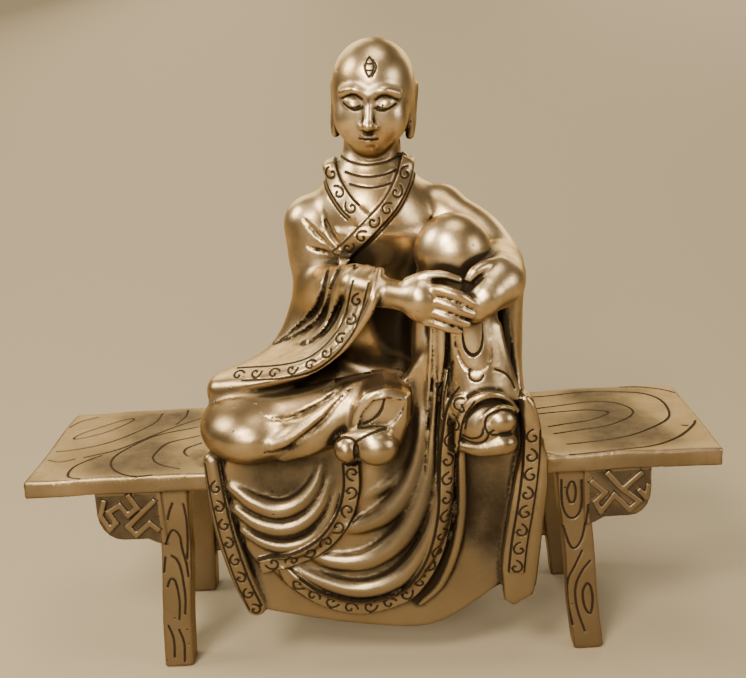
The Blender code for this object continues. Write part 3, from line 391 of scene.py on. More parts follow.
def sleeve(clay):
    for line, radius in zip(family(SLEEVE_BACK, SLEEVE_EDGE, len(SLEEVE_RIBS) + 1), SLEEVE_RIBS):
        clay.add(Tube(line, radius), 5)
    band = family(SLEEVE_BACK, SLEEVE_EDGE, 2 * len(SLEEVE_RIBS) + 1)[-2]
    clay.add(Tube(band, 2.0), 3)
    clay.add(Tube(SLEEVE_EDGE, [1.6] * 7 + [1.2]), 1.0)
    for groove in SLEEVE_GROOVES:
        clay.draw(Trace(groove, 3.6, -2.2, 11, 1.8, tapered=0.45))


def left_arm(clay):
    clay.add(Tube([(31, 8, 82), (43, -3, 75.5), (48.6, -16, 68), (48, -28, 67)], [9.8, 9.2, 9.4, 9.2]), 3)
    # The robe falls from this arm to the seat.
    clay.add(Tube([(40, 2, 70), (42, 2, 40), (44, 0, 14)], [11, 13, 14]), 5)
    clay.add(Tube([(52.5, -20, 62), (51.3, -23, 42), (50.8, -27, 24), (52.5, -33, 10)],
                  [5.8, 5.2, 5.4, 6]), 2)
    clay.cut(Tube([(48.4, -38, 58), (49.4, -38, 45), (52.2, -38, 32), (53.6, -38, 22)],
                  [1.2, 2.2, 2.0, 0.9], (1, 6, 1)), 1)
    for line in family([(46, -25, 72), (50, -28, 55), (50, -31, 36), (52, -35, 18)],
                       [(54.5, -16, 66), (56, -20, 50), (55, -22, 34), (55.5, -27, 18)], 3):
        clay.add(Tube(line, 1.5), 1.2)


def hands(clay):
    # The left hand holds the shin; the right comes from its sleeve and lies over it.
    clay.add(Ball((46.2, -42, 66.2), (9.6, 9.5, 8.6)), 1.2)
    clay.add(Tube([(48, -28, 67), (48, -38, 67.2), (43, -48, 64), (38, -50.5, 60)],
                  [8.8, 8.4, 6.6, 4.8]), 2)
    clay.add(Tube([(47, -43, 72.5), (42, -47, 73), (38.5, -49.5, 72), (36.5, -50, 70)],
                  [2.6, 2.3, 1.9, 1.6]), 1)
    clay.add(Tube([(-1, -34, 66), (7, -42, 65.3), (14, -47.5, 64.8), (20, -50.5, 64.2)],
                  [5.8, 5.3, 4.9, 6.2]), 2)
    clay.add(Ball((21.3, -50.8, 63.4), (6.2, 4.6, 7.6)), 2.5)
    clay.add(Tube([(17, -49, 69), (22, -50.5, 71.6), (28, -51, 71.7), (33, -51, 70)],
                  [2.6, 1.9, 1.5, 1.3]), 1.0)
    for line, radius in (
            ([(22.6, -52.6, 67.6), (28, -54.8, 67.4), (33, -55.6, 65.4), (36.8, -54.6, 62.6)], 2.0),
            ([(22.4, -52.8, 64), (27.4, -55, 63.4), (32.4, -55.8, 61.2), (36.6, -54.6, 59.0)], 2.0),
            ([(22, -52.6, 60.4), (26.4, -54.8, 59.6), (31, -55.4, 57.6), (35, -54.4, 55.9)], 1.9),
            ([(21.6, -52, 57), (25.4, -54, 56.2), (29, -54.6, 54.8), (32.4, -53.8, 53.4)], 1.7)):
        clay.add(Tube(line, [radius, radius, radius - 0.15, radius - 0.45]), 0.5)


def right_shoe(clay):
    clay.add(Slab([(-10, 11), (-7, 20), (-4.4, 28), (-0.5, 33), (7, 34.6), (15.4, 31.4), (15, 22),
                   (11.5, 12.5),
                   (5, 8), (-3, 7.2)], -52.5, -34, 4.5), 1.0)
    clay.add(Tube([(-4.8, -50.5, 18), (-2.8, -50.8, 26.5), (1.6, -51, 31.4), (7.8, -50.4, 32.6),
                   (15, -48.5, 30.3)],
                  [1.1, 1.2, 1.2, 1.1, 0.7]), 0.4)
    clay.cut(Slab([(-3.2, 20.4), (-1.1, 26), (2.7, 30.0), (7.9, 30.8), (14, 29.2), (12.4, 25.9),
                   (9.8, 22.6),
                   (6.6, 20.2)], -60, -51.6, 0.3), 0.8)
    clay.add(Tube([(-7.6, -52, 16.2), (0, -53.5, 18.2), (7, -52.5, 18.6)], [2.6, 2.6, 1.6]), 1.6)
    clay.add(Ball((-7.4, -52.5, 13.3), (4.3, 4.8, 4.6)), 0.6)
    clay.add(Ball((3.0, -52.5, 13.4), (7.4, 6.0, 6.4)), 0.6)


ARCH = [(30.6, -49, 10), (31.6, -50.5, 19.5), (35, -51.5, 26.8), (40.8, -51.5, 29.8), (46.8, -49.5, 28),
        (51.6, -45, 21.5)]


def left_shoe(clay):
    clay.add(Ball((41, -44.5, 17.8), (10.6, 11.0, 10.6)), 0.5)
    clay.add(Tube([(38.6, -53, 16.4), (39.6, -54, 22.2), (44.6, -53.5, 25.8), (49.8, -50.5, 24)],
                  [0.9, 1.1, 1.1, 0.9]), 0.8)
    clay.add(Ball((45.4, -51.6, 20.6), (5.4, 4.6, 4.7)), 0.5)
    clay.add(Tube([(32.6, -49.5, 11.2), (38, -52, 11), (45.6, -52, 12.6)], [2.4, 3.6, 5.4],
                  (1, 0.9, 0.8)), 0.7)


def shin_robe(clay):
    clay.add(Tube(ARCH, [1.2, 1.4, 1.5, 1.5, 1.4, 1.2]), 1.0)
    clay.add(Tube([(46, -40, 50), (48.3, -42, 38), (51, -42, 27)], [1.6, 2, 2.2]), 2.5)
    for line, width, depth in (
            ([(31.2, -45, 56), (31.3, -45, 50.5), (32.1, -45, 43.9), (34.5, -46.4, 38.6),
              (38.4, -47.5, 37.2), (42.1, -47, 39.3),
              (43.4, -45, 44.4), (43, -45, 52)], 1.7, -1.0),
            ([(34, -45.5, 54), (34, -45.5, 48.8), (34.8, -46, 44.7), (37, -46.7, 42.6),
              (39.6, -46.7, 44.1), (40.7, -45.4, 48.4),
              (40.6, -45, 54)], 1.3, -0.9),
            ([(29.2, -43, 60), (29, -43.4, 49), (27.8, -44.5, 38.4), (25.6, -45, 26.6), (23.6, -45, 10),
              (23, -45, -8)], 2.4, -1.6),
            ([(24.8, -43, 60), (23.7, -43.4, 38.2), (21.6, -44.2, 19.2), (18.8, -45, -4)], 2.6, -1.5)):
        clay.draw(Trace(line, width, depth, 9, width / 2, tapered=0.45))


LEFT_EDGE = [(-59, 0, 7.4), (-58.6, 0, -7.2), (-56.6, 0, -23), (-52.8, 0, -39.3), (-48.5, 0, -52.6)]
HEM = [(-48.5, 0, -52.6), (-30, 0, -57.5), (-5, 0, -62.5), (18, 0, -64.0), (33.4, 0, -56.5), (47.6, 0, -46)]
RIGHT_EDGE = [(55, 0, -44), (59.6, 0, -28.7), (61, 0, -9.3), (60.5, 0, 5)]
SWAG_HEM = [(-41.2, -43, -37.6), (-27, -43, -34.2), (-15.4, -43, -28), (-7.0, -43, -17.3),
            (-3.5, -43, -6), (-3.0, -43, 4)]
FRONT_BAND = [(34.6, -48.5, 30), (30.6, -48.5, 23.6), (28.4, -47.5, 13), (27.4, -47, 5),
              (26.8, -46.5, -3.9), (26.1, -46.5, -14.2),
              (24, -46.5, -24.8), (20.6, -46, -34.5), (15.4, -46, -43.2), (8.5, -46, -49.4),
              (-6.2, -45, -52.9),
              (-20, -44, -48.8), (-30, -42, -41), (-36, -40, -33)]
PANEL_BAND = [(54.8, -43, 26), (57, -43.5, 14), (56.4, -44, 1), (54.4, -44, -14), (51.8, -44, -29),
              (50.4, -44, -41)]
STRIP_BAND = [(-56.2, -43, 6), (-55.0, -44, -7.4), (-52.8, -44, -23.2), (-49.2, -44, -39.4),
              (-45.4, -43, -52.4)]
BAND_WIDTH = 7.0


def lower_robe(clay):
    back = -36.3
    skirt = outline(smooth(LEFT_EDGE, 3)[:-1], smooth(HEM, 3)[:-1], smooth(RIGHT_EDGE, 3),
                    [(50, 12), (20, 24), (-40, 10)])
    clay.add(Slab(skirt, -39.2, back, 1.0), 0.6)
    # The panel inside the long front band, with its sagging folds.
    front = outline(shifted(FRONT_BAND, BAND_WIDTH / 2 + 0.8), [(-38, -20), (-20, 0), (0, 14), (18, 40),
                                                                (26, 50)])
    clay.add(Slab(front, -41.4, back, 1.2), 0.8)
    for line, radii in (
            ([(27.2, -42.5, 54), (26.8, -43, 27), (25.8, -43, 6), (23.2, -43, -13), (18, -43, -28.5),
              (8, -42.8, -41),
              (-7, -42, -45.5), (-24, -41, -40), (-34, -39, -32)], [1.7, 2.0, 2.3, 2.9, 3.4, 3.7, 3.5,
                                                                    3.0, 2.4]),
            ([(24.4, -41.5, 54), (23.2, -42, 34), (22, -42.3, 14), (20.6, -42.5, 1),
              (16.6, -42.8, -12.8), (9, -42.8, -25.5),
              (-2.5, -42, -33.5), (-16, -41, -34), (-27, -39, -29)], [1.4, 1.7, 2.2, 2.8, 3.8, 4.2, 4.0,
                                                                      3.2, 2.4]),
            ([(19.4, -38, 30), (18.9, -41, 18), (17.0, -42, 5), (11.6, -42.5, -8), (3.6, -42, -16.5),
              (-7, -40.5, -21), (-16, -39, -20)],
             [1.8, 2.3, 2.9, 3.8, 4.0, 3.2, 2.4]),
            ([(17.4, -38, 12), (14.0, -40, 3), (6.5, -41, -5), (-2, -40, -9.5)], [1.2, 1.8, 2.1, 1.6])):
        clay.add(Tube(line, radii), 1.0)
    clay.add(Tube([(22.5, -33, 52), (24, -35, 25), (25, -36, 0)], [6, 7.2, 6]), 1.5)
    clay.draw(Trace(FRONT_BAND, BAND_WIDTH, 2.2, 9, tapered=0.06))
    clay.add(Tube([(33.2, -43.5, 16), (32.2, -44, 5), (31.6, -43.5, -15), (28.8, -43, -31),
                   (23.0, -42.5, -45), (15.2, -42, -53)],
                  [1.0, 1.5, 1.7, 1.7, 1.4, 1]), 1.5)
    # The panel that hangs below the folded knee.
    swag = outline(shifted(SWAG_HEM, -0.6), [(-6, 14), (-48, 12), (-52, 4), (-51, -4), (-49.5, -14),
                                             (-46.5, -28)])
    clay.add(Slab(swag, -42.2, back, 1.2), 0.8)
    for line, radii in (
            ([(-49.8, -41, -3), (-42.4, -43, -8.6), (-34, -43.6, -11.8), (-26.3, -43.4, -9.8),
              (-20.5, -42.6, -4.2), (-17, -41.5, 4)],
             [2.2, 3.2, 3.5, 3.3, 2.8, 1.6]),
            ([(-48.8, -41, -11.8), (-41, -42.8, -17), (-32.2, -43.4, -19), (-24.6, -43.2, -16.8),
              (-18.6, -42.4, -11), (-14.8, -41.5, -2.5)],
             [2.2, 3.1, 3.4, 3.2, 2.7, 1.6]),
            ([(-47, -41.5, -20), (-39.5, -42.2, -25), (-31, -42.6, -26.8), (-22.8, -42.4, -24),
              (-16.4, -42, -17), (-12.6, -41.5, -8)],
             [1.6, 2.5, 2.7, 2.5, 2.2, 1.4])):
        clay.add(Tube(line, radii), 0.8)
    clay.draw(Trace(shifted(SWAG_HEM, BAND_WIDTH / 2), BAND_WIDTH, 2.2, 9))
    # The strip at the far left and the panel at the right.
    clay.add(Tube(np.add(STRIP_BAND, (0, 4, 0)), [3.2, 3.9, 4.3, 4.3, 3.8], (1, 0.75, 1)), 0.6)
    panel = outline([(54.2, 27), (57.4, 23), (60.1, 15), (61, 7), (62.6, 3), (61.5, -10), (59.6, -27),
                     (57.6, -41),
                     (56.8, -50.5), (49.4, -55), (46, -52.5), (45.3, -39), (45.9, -33), (48.2, -19),
                     (51, -4), (53.4, 6)])
    clay.add(Slab(panel, -43.8, back, 1.2), 0.6)
    clay.add(Tube([(59.8, -40.5, 8), (60.4, -41.5, -6), (58.6, -41.8, -20), (57.2, -41.6, -34),
                   (56, -41, -47)],
                  [1.8, 2.4, 2.4, 2.3, 2]), 0.7)
    clay.draw(Trace(PANEL_BAND, BAND_WIDTH, 1.2, 9))


UNDER_COLLAR = [(-10.4, 6, 105.5), (-8.6, -3, 98.5), (-3.8, -7.5, 91), (2.4, -10.5, 84.5)]
OVER_COLLAR = [(19.6, 6, 104.5), (16.9, -3, 97.5), (11.6, -7.5, 89.6), (3.8, -10.5, 82.2),
               (-4.6, -11, 74.4), (-8, -10, 71.6)]


def collar(clay):
    clay.draw(Trace(UNDER_COLLAR, BAND_WIDTH, 1.0, 11))
    clay.draw(Trace(OVER_COLLAR, BAND_WIDTH, 1.9, 11))
    for line, width, depth in (
            ([(-12.8, -5, 88), (-11.2, -8, 82.5), (-8.4, -11, 77.5), (-6.4, -13, 74.6)], 4.2, -2.0),
            ([(-21, -2, 86), (-17.3, -5, 81.4), (-12.9, -8, 77), (-7.4, -12, 73)], 2.2, -1.4),
            ([(-21.8, -4, 76.4), (-16.9, -6.4, 74), (-11.3, -10, 72.6), (-6.5, -13, 71.6)], 2.0, -1.2),
            ([(27.5, -3, 84.5), (25.5, -6, 79)], 2.2, -1.1)):
        clay.draw(Trace(line, width, depth, 12, width / 2, tapered=0.45))


def figure():
    clay = Clay()
    torso(clay)
    back_robe(clay)
    legs(clay)
    knee_folds(clay)
    left_arm(clay)
    right_arm(clay)
    sleeve(clay)
    collar(clay)
    lower_robe(clay)
    shin_robe(clay)
    right_shoe(clay)
    left_shoe(clay)
    hands(clay)
    clay.add(head(), 0.8)
    return clay


# Fine carving: engraved borders, scrolls, creases and marks

BAND_LIP = 0.7
LINE_WIDTH = 0.7
LINE_DEPTH = -0.42
SCROLL = ((-0.2, 0.4), (-1.0, 0.1), (-1.6, 1.0), (-0.9, 2.1), (0.5, 2.3), (1.6, 1.4), (1.8, 0.0),
          (1.0, -1.4), (-0.5, -2.3))
SCROLL_PITCH = 7.2
HEM_REACH = 6.5  # so that the carving stays off the back of the hem


class Sight(Trace):
    """A line drawn as seen from a little above, for places that face upwards."""

    lift = np.radians(20)
    tilt = np.array([[1, 0, 0], [0, np.cos(lift), np.sin(lift)], [0, -np.sin(lift), np.cos(lift)]])

    def __init__(self, points, *details, **more):
        super().__init__(np.asarray(points, float), *details, **more)
        self.line = self.line @ self.tilt

    def gap(self, p):
        return super().gap(p @ self.tilt)


# The middle of the sleeve's band, from the wrist to the point on the knee
CUFF_BAND = [(0.8, -42.5, 69.5), (-1, -42, 63.4), (-2.8, -42.4, 57.6), (-5, -43.4, 53.2),
             (-8.6, -43.8, 48.8), (-12.8, -43.4, 44.8),
             (-18, -42, 41.2), (-24.2, -39, 38.6), (-31.4, -34.4, 36.4), (-39.6, -27, 34), (-47, -21, 32)]


def engraved(points, width=LINE_WIDTH, depth=LINE_DEPTH, reach=9.0, per_span=4, kind=Trace):
    return kind(points, width, depth, reach, width / 2, per_span)


def scrolls(line, size=1.0, pitch=SCROLL_PITCH, reach=9.0, first=0.5, last=0.0, kind=Trace):
    """Comma-shaped scrolls along a line, every other one turned over."""
    line = smooth(line, 8)
    along = np.r_[0, np.cumsum(np.linalg.norm(np.diff(line[:, [0, 2]], axis=0), axis=1))]
    spots = np.arange(first * pitch, along[-1] - last * pitch, pitch)
    for number, spot in enumerate(spots):
        middle = np.array([np.interp(spot, along, column) for column in line.T])
        ahead = np.array([np.interp(spot + 1, along, column) for column in line.T])
        run = (ahead - middle)[[0, 2]]
        run /= np.linalg.norm(run)
        side = np.array([-run[1], run[0]])
        flip = 1 if number % 2 else -1
        curl = [(middle[[0, 2]] + size * (flip * u * side + v * run)) for u, v in SCROLL]
        yield engraved([(x, middle[1], z) for x, z in curl], 0.72, -0.45, reach, 3, kind)


def bordered(line, width=BAND_WIDTH, lips=(BAND_LIP, BAND_LIP), **scroll):
    """The two engraved borders of a band, and its scrolls."""
    for side, lip in zip((-1, 1), lips):
        yield engraved(shifted(line, side * (width / 2 - lip)), reach=scroll.get("reach", 9.0),
                       per_span=2, kind=scroll.get("kind", Trace))
    yield from scrolls(line, **scroll)


def fine_carving():
    """Every engraved line of the robe, the shoes and the neck."""
    yield from bordered(FRONT_BAND[:-1], first=0.6, reach=HEM_REACH)
    yield from bordered(shifted(SWAG_HEM, BAND_WIDTH / 2)[::3], first=0.6, reach=HEM_REACH)
    yield from bordered(PANEL_BAND[1:], first=0.3, reach=HEM_REACH)
    yield from bordered(STRIP_BAND, 6.2, (0.7, 0.7), size=0.9, first=1.2, reach=HEM_REACH)
    tucked = UNDER_COLLAR[:-1] + [(-0.8, -9, 88)]
    yield from bordered(tucked, reach=12, size=0.92, pitch=6.6, first=0.7)
    yield from bordered(OVER_COLLAR, reach=12, size=0.92, pitch=6.6, first=0.7)
    yield engraved(shifted(tucked, -BAND_WIDTH / 2 - 0.6), reach=12, per_span=2)
    yield engraved(shifted(OVER_COLLAR, BAND_WIDTH / 2 + 0.6), reach=12, per_span=2)
    yield from bordered(CUFF_BAND, 6.4, (0.4, 0.4), kind=Sight, size=0.85, first=0.9)
    yield engraved([(44, -46, 37.4), (47.6, -45, 35.4), (50, -44, 32.4), (51.4, -44, 29)])
    yield engraved([(36.0, -47, 37.6), (35.6, -47, 35.2), (37.2, -47, 33.9), (39.4, -47, 34.2),
                    (40.6, -47, 35.8)])
    yield engraved([(30.6, -46, 40), (28.8, -46, 35), (27, -46.4, 28), (26.2, -47, 20)])
    # Rings of the neck
    for ring in (
        [(-5.5, 1, 106.0), (0, -3, 104.0), (5.5, -5, 103.4), (11.5, -3, 104.0), (17, 1, 105.8)],
        [(-4, -1, 101.2), (1, -5, 99.8), (6, -7, 99.4), (11, -5, 99.8), (15.5, -1, 101.0)],
        [(-2.5, -3, 97.2), (2, -6, 96.2), (6, -8, 95.8), (10, -6, 96.2), (13.5, -3, 97.0)],
    ):
        yield engraved(ring, 0.8, -0.45, 12)
    yield from head_marks()
    # Seams of the right shoe: the two toe lobes, the mouth and the parted lining
    yield engraved([(-11.1, -57, 16.5), (-7.4, -57, 18.2), (-4.0, -57, 17.0), (-4.6, -57, 13.4),
                    (-4.1, -57, 9.8)], 0.8)
    yield engraved([(-4.2, -57, 16.2), (-3.2, -58, 17.4), (0.5, -57, 19.3), (4.6, -56, 20.2),
                    (6.8, -54, 20.2)], 0.8)
    yield engraved([(6.6, -51, 30.5), (5.4, -51, 27), (2.4, -51, 23.4), (-1.2, -51, 21.4)], 0.8)
    yield engraved([(1.6, -51, 22.6), (4.4, -51, 24.6), (6.0, -51, 27.4)], 0.5, -0.2)
    # Seams of the left shoe
    yield engraved([(39.6, -55, 19.8), (41.4, -56, 17.2), (45.6, -57, 16.6), (49.6, -55, 17.2),
                    (51.4, -52, 18.8)], 0.8)
    yield engraved([(39.8, -55, 19.4), (40.6, -55, 23.4), (44.8, -54, 25.2), (49.2, -52, 23.8),
                    (51.2, -51, 20)], 0.8)
    yield engraved([(32.4, -50, 15.6), (35.4, -52, 15.2), (38.4, -54, 16.6), (39.4, -55, 19.6)], 0.8)
    yield engraved([(33.2, -49, 18), (34.6, -50, 22.6), (38, -51, 26.2)], 0.7)
    yield engraved([(32.2, -50, 14.0), (36.4, -53, 13.4), (39.6, -54, 14.6), (41.4, -56, 17.6),
                    (43, -57, 18.7)], 0.8)


def head_marks():
    """The almond mark on the forehead and the lines of the lids and lips, placed with the head."""
    crown = head()

    def mark(points, width, depth):
        return engraved(crown.middle + np.array(points) @ crown.turn.T, width, depth)

    for side in (-1, 1):
        yield mark([(0, -13, 16.4), (side * 1.0, -13, 14.8), (side * 1.55, -13, 12.8),
                    (side * 1.0, -13, 10.8), (0, -13, 9.2)],
                   0.62, -0.4)
        yield mark([(side * 2.0, -14, -0.9), (side * 3.8, -15, -1.7), (side * 6.0, -15, -1.6),
                    (side * 9.6, -12, 0.3)],
                   0.75, -0.5)
        yield mark([(side * 2.2, -14, 1.7), (side * 5.4, -15, 3.5), (side * 9.8, -12, 1.6)], 0.65, -0.3)
    yield mark([(1.2, -13, 15.6), (2.5, -13, 12.8), (1.0, -13, 9.4)], 0.55, -0.35)
    for level in (14.0, 11.8):
        yield mark([(-1.1, -13, level), (0, -13, level - 0.1), (1.1, -13, level)], 0.55, -0.3)
    yield mark([(-3.6, -14, -11.9), (-1.4, -15, -12.15), (0, -15, -12.0), (1.4, -15, -12.15),
                (3.6, -14, -11.9)],
               0.7, -0.45)


# The bench: the same sizes as its solid, with worn edges and cast wood grain

HALF_LENGTH = 126.0
PLANK_BACK = 36.0
PLANK_LOW = -6.5
GROUND = -80.0
LEG_TOP, LEG_WIDTH, LEG_DEPTH, LEG_SPLAY, LEG_EDGE = 77.8, 11.0, 10.0, 5.9, 2.2
BRACKET_EDGE, BRACKET_DEPTH = 1.4, 3.5
STRETCHER = (-53.0, -62.5, 5.0)
WEAR = 0.55


class Board(Slab):
    """An outline seen from above, between two levels."""

    plane, deep = [0, 1], 2


class Grain(Trace):
    """A groove in the top of the plank, seen from above."""

    plane, deep = [0, 1], 2


# Key fret of each bracket: distance outwards from the leg, and down from the plank
FRETS = {
    -1: (((10.7, 1.5), (8.2, 6.1), (11.9, 9.1), (14.4, 5.0), (18.9, 7.5), (16.8, 11.9), (19.3, 14.3),
          (22.0, 8.6), (20.2, 3.6)),
         ((1.9, 3.7), (12.6, 13.5), (10.0, 17.0), (4.4, 12.4), (1.8, 15.1))),
    1: (((1.9, 4.5), (6.4, 9.0), (2.9, 12.4), (4.8, 16.4), (9.7, 10.2), (15.1, 16.4), (18.7, 13.2),
         (12.9, 8.3), (19.3, 2.6)),
        ((7.6, 1.8), (11.4, 6.8)), ((19.0, 9.2), (21.4, 11.8), (22.2, 7.4))),
}

PLANK_GRAIN = (
    [(-123, -6), (-116, -5.5), (-108, -2.5), (-97, 7), (-89.5, 19), (-88.4, 31)],
    [(-125, 20), (-122, 27), (-116, 32)],
    [(-123.5, -14.5), (-118, -16.8), (-113, -15.2)],
    [(-110, -14.6), (-100, -9.2), (-91, -0.3), (-80, 14.2), (-70, 23)],
    [(-78, 33.5), (-77.6, 26), (-80, 17)],
    [(-105.5, -35), (-111, -31.5), (-111.3, -23.2), (-106.2, -16.6), (-103, -13.2)],
    [(-79, -35), (-87, -35), (-94, -29.5), (-97.6, -21.5), (-97.2, -12.8), (-91.7, -3), (-83, 7),
     (-70, 13)],
    [(-70, -30.4), (-77.5, -26.4), (-82, -20), (-82, -13), (-78.8, -3), (-68, 3.2)],
    [(-65, -18), (-68.7, -18.2), (-71.4, -13.8), (-70.8, -9.2), (-66, -4.6)],
    [(66, 8.4), (83, 9.8), (91, 7.4), (93.3, 4.8), (90.4, 1.6), (82.4, -3), (68, -5.8)],
    [(66, 14.4), (84.5, 18.2), (96.5, 16.4), (102.2, 10.2), (102.6, 3.4), (98, -3.4), (86.4, -10.4),
     (69, -13.4)],
    [(60, 28.5), (87, 30.3), (101.4, 29.4), (111.6, 26), (116.8, 17.4), (116.7, 3), (112.3, -6.6),
     (102, -16.4), (88.4, -23.4), (72, -24.6)],
    [(124, -7), (121.6, -12), (113.4, -23.2), (103.8, -30), (91.5, -33.4), (71, -34.8)],
    [(104, 35), (112, 34), (120, 30.6), (125, 25.4)],
    [(117.6, -11.2), (119.8, -11.7)],
)

LEG_GRAIN = (
    [(-75.9, -18.5), (-74.8, -15), (-73.2, -11.6)],
    [(-69.4, -12.2), (-68.9, -19), (-69.4, -27), (-70.4, -35)],
    [(-77.7, -28.4), (-75.7, -24), (-74, -22.9), (-72.2, -25.4), (-71.8, -31), (-70.9, -36.5),
     (-70.6, -42)],
    [(-79.6, -40), (-78.4, -33.4)],
    [(-76.4, -33), (-74.2, -35), (-73, -40), (-72.6, -50), (-73.6, -58)],
    [(-79, -46), (-77.4, -42.6), (-75.6, -44), (-75, -52), (-76, -60)],
    [(-80.5, -62), (-79, -68), (-79.4, -76)],
    [(-76.6, -64), (-75.2, -70), (-75.8, -78)],
    [(71.7, -11.4), (70.6, -15), (71.6, -19.2), (73.2, -19), (73.8, -15), (73, -11.4), (71.7, -11.2)],
    [(68.6, -10), (68.8, -19.8), (70.8, -25), (73.4, -25.6), (75.3, -23), (76, -18), (75.8, -10.4)],
    [(69, -28.4), (71.2, -35.8), (73.1, -37.8), (75.6, -34.8), (77.2, -28), (78.2, -20)],
    [(76, -38.8), (73.2, -45), (70.6, -51.2), (70.6, -60), (72.4, -70)],
    [(79, -43), (75.8, -47.4), (73.5, -54), (74, -62.6), (77, -73)],
    [(77.8, -52.2), (76.2, -56), (76.9, -62.4), (79, -65.4), (79.9, -60), (79.2, -54.4), (77.9, -52.2)],
)


def leg_outline(side):
    top, foot = LEG_TOP, LEG_TOP + LEG_SPLAY
    points = [(top - LEG_WIDTH, PLANK_LOW + 2), (top, PLANK_LOW + 2), (foot, GROUND),
              (foot - LEG_WIDTH, GROUND)]
    return [(side * x, z) for x, z in points]


def bracket_outline(side):
    points = [(-1, -2), (-1, 21.9), (2.4, 21.1), (6.1, 19.2)]
    points += [(15.0 + 8.5 * np.sin(a), 8.6 + 10.6 * np.cos(a)) for a in np.radians(np.linspace(0, 90, 6))]
    points += [(23.5, -2)]
    return [(side * (LEG_TOP + u), PLANK_LOW - v) for u, v in points]


def fret_strips(side):
    """Raised strips along the fret's lines, as outlines in x and z."""
    for line in FRETS[side]:
        spots = np.array([(side * (LEG_TOP + u), PLANK_LOW - v) for u, v in line])
        for start, end in zip(spots, spots[1:]):
            run = (end - start) / np.linalg.norm(end - start) * 1.0
            beside = np.array([-run[1], run[0]])
            yield [start - run - beside, end + run - beside, end + run + beside, start - run + beside]


def bench_clay():
    clay = Clay()
    corner = [(HALF_LENGTH - 5 + 5 * np.cos(a),
               PLANK_BACK - 5 + 5 * np.sin(a)) for a in np.radians(np.linspace(0, 90, 6))]
    plan = [(-HALF_LENGTH, CLAY_FRONT), (HALF_LENGTH, CLAY_FRONT)] + corner + [(-HALF_LENGTH, PLANK_BACK)]
    clay.add(Board(plan, PLANK_LOW, 0, WEAR), 0.3)
    for side in (-1, 1):
        for near in (CLAY_FRONT + LEG_EDGE, PLANK_BACK - LEG_EDGE - LEG_DEPTH):
            clay.add(Slab(leg_outline(side), near, near + LEG_DEPTH, 0.7), 0.6)
        for near in (CLAY_FRONT + BRACKET_EDGE, PLANK_BACK - BRACKET_EDGE - BRACKET_DEPTH):
            clay.add(Slab(bracket_outline(side), near, near + BRACKET_DEPTH, 0.6), 0.6)
        for strip in fret_strips(side):
            clay.add(Slab(strip, CLAY_FRONT + BRACKET_EDGE - 1.0, CLAY_FRONT + BRACKET_EDGE + 1.5, 0.3),
                     0.15)
    top, low, thick = STRETCHER
    middle = PLANK_BACK - LEG_EDGE - LEG_DEPTH / 2
    bar = [(-LEG_TOP, low), (LEG_TOP, low), (LEG_TOP, top), (-LEG_TOP, top)]
    clay.add(Slab(bar, middle - thick / 2, middle + thick / 2, 0.6), 0.5)
    # Lumps of braze where the robe's edge meets the plank
    for middle, radii in (((-64.5, -19, -0.4), (4.2, 3.0, 1.7)), ((-61.5, -25, -0.4), (3.6, 3.4, 1.9)),
                          ((-66, -15, -0.3), (2.2, 2.0, 1.0)),
                          ((62.5, -33.5, -0.6), (4.2, 3.0, 1.9)), ((66, -35, -1.4), (2.6, 1.8, 1.6)),
                          ((59, -29, 0), (3.4, 3.2, 1.8))):
        clay.add(Ball(middle, radii), 1.2)
    return clay


def bench_grooves():
    for line in PLANK_GRAIN:
        yield Grain([(x, y, 0) for x, y in line], 0.8, -0.5, 3, 0.4, 4)
    turn = np.radians(np.linspace(0, 360, 13))
    long, wide, lean = 14.0, 3.6, np.radians(44.5)
    oval = [(-109.3 + long * np.cos(a) * np.cos(lean) - wide * np.sin(a) * np.sin(lean),
             16.3 + long * np.cos(a) * np.sin(lean) + wide * np.sin(a) * np.cos(lean), 0) for a in turn]
    yield Grain(oval, 0.8, -0.5, 3, 0.4, 3)
    for line in LEG_GRAIN:
        yield Trace([(x, CLAY_FRONT + LEG_EDGE, z) for x, z in line], 0.8, -0.45, 2.5, 0.4, 4)


class Wavy:
    """A clay whose edges wander a little, as hand-finished casting does."""

    def __init__(self, clay, size=0.22):
        self.clay, self.size = clay, size

    def distance(self, p):
        x, y, z = p.T
        sway = np.stack([np.sin(z / 7.3 + y / 11), np.sin(x / 8.1 + z / 5.7),
                         np.sin(x / 9.7 + 1.3) + 0.6 * np.sin(x / 4.3 + y / 9)], 1)
        return self.clay.distance(p + self.size * sway)


# Surfaces as meshes, with small triangles where the carving is fine

COARSE = 1.75  # the first grid and the longest edges
LINE_STEP = 0.56  # edges along thin engraved lines
GROOVE_STEP = 1.0  # edges along wider grooves
THIN_LINE = 1.4  # lines narrower than this are thin
BEND_STEP = 1.45  # longer edges are halved where the surface bends sharply
SHARP_BEND = 0.85  # as the cosine between the directions at the ends
EDGE_SLACK = 1.35  # how much longer than its step an edge may stay
BATCH = 4000  # points measured at a time
FIRST_MOVE = 0.8  # the furthest a point moves when it settles
LAST_MOVE = 0.3
RELAX = 0.5
RELAX_TURNS = 2
RELAX_SLIP = 0.08  # how far off the surface an evened point may end
LINE_PATINA_AND_SHADE = 0.35  # patina and painted shade in a thin line, fading out beside it
LINE_PATINA_AND_SHADE_SPREAD = 0.7
GROOVE_PATINA_AND_SHADE = 0.42  # patina and painted shade at the bottom of a wide groove
CREVICE_REACHES = (0.4, 0.8)
HOLLOW_REACHES = (2.5, 5.0)
RIDGE_DEPTH = 0.9
SHADE_CELL = 3.0
SHADE_SOFTNESS = 3
SHADE_REACH = 6.0

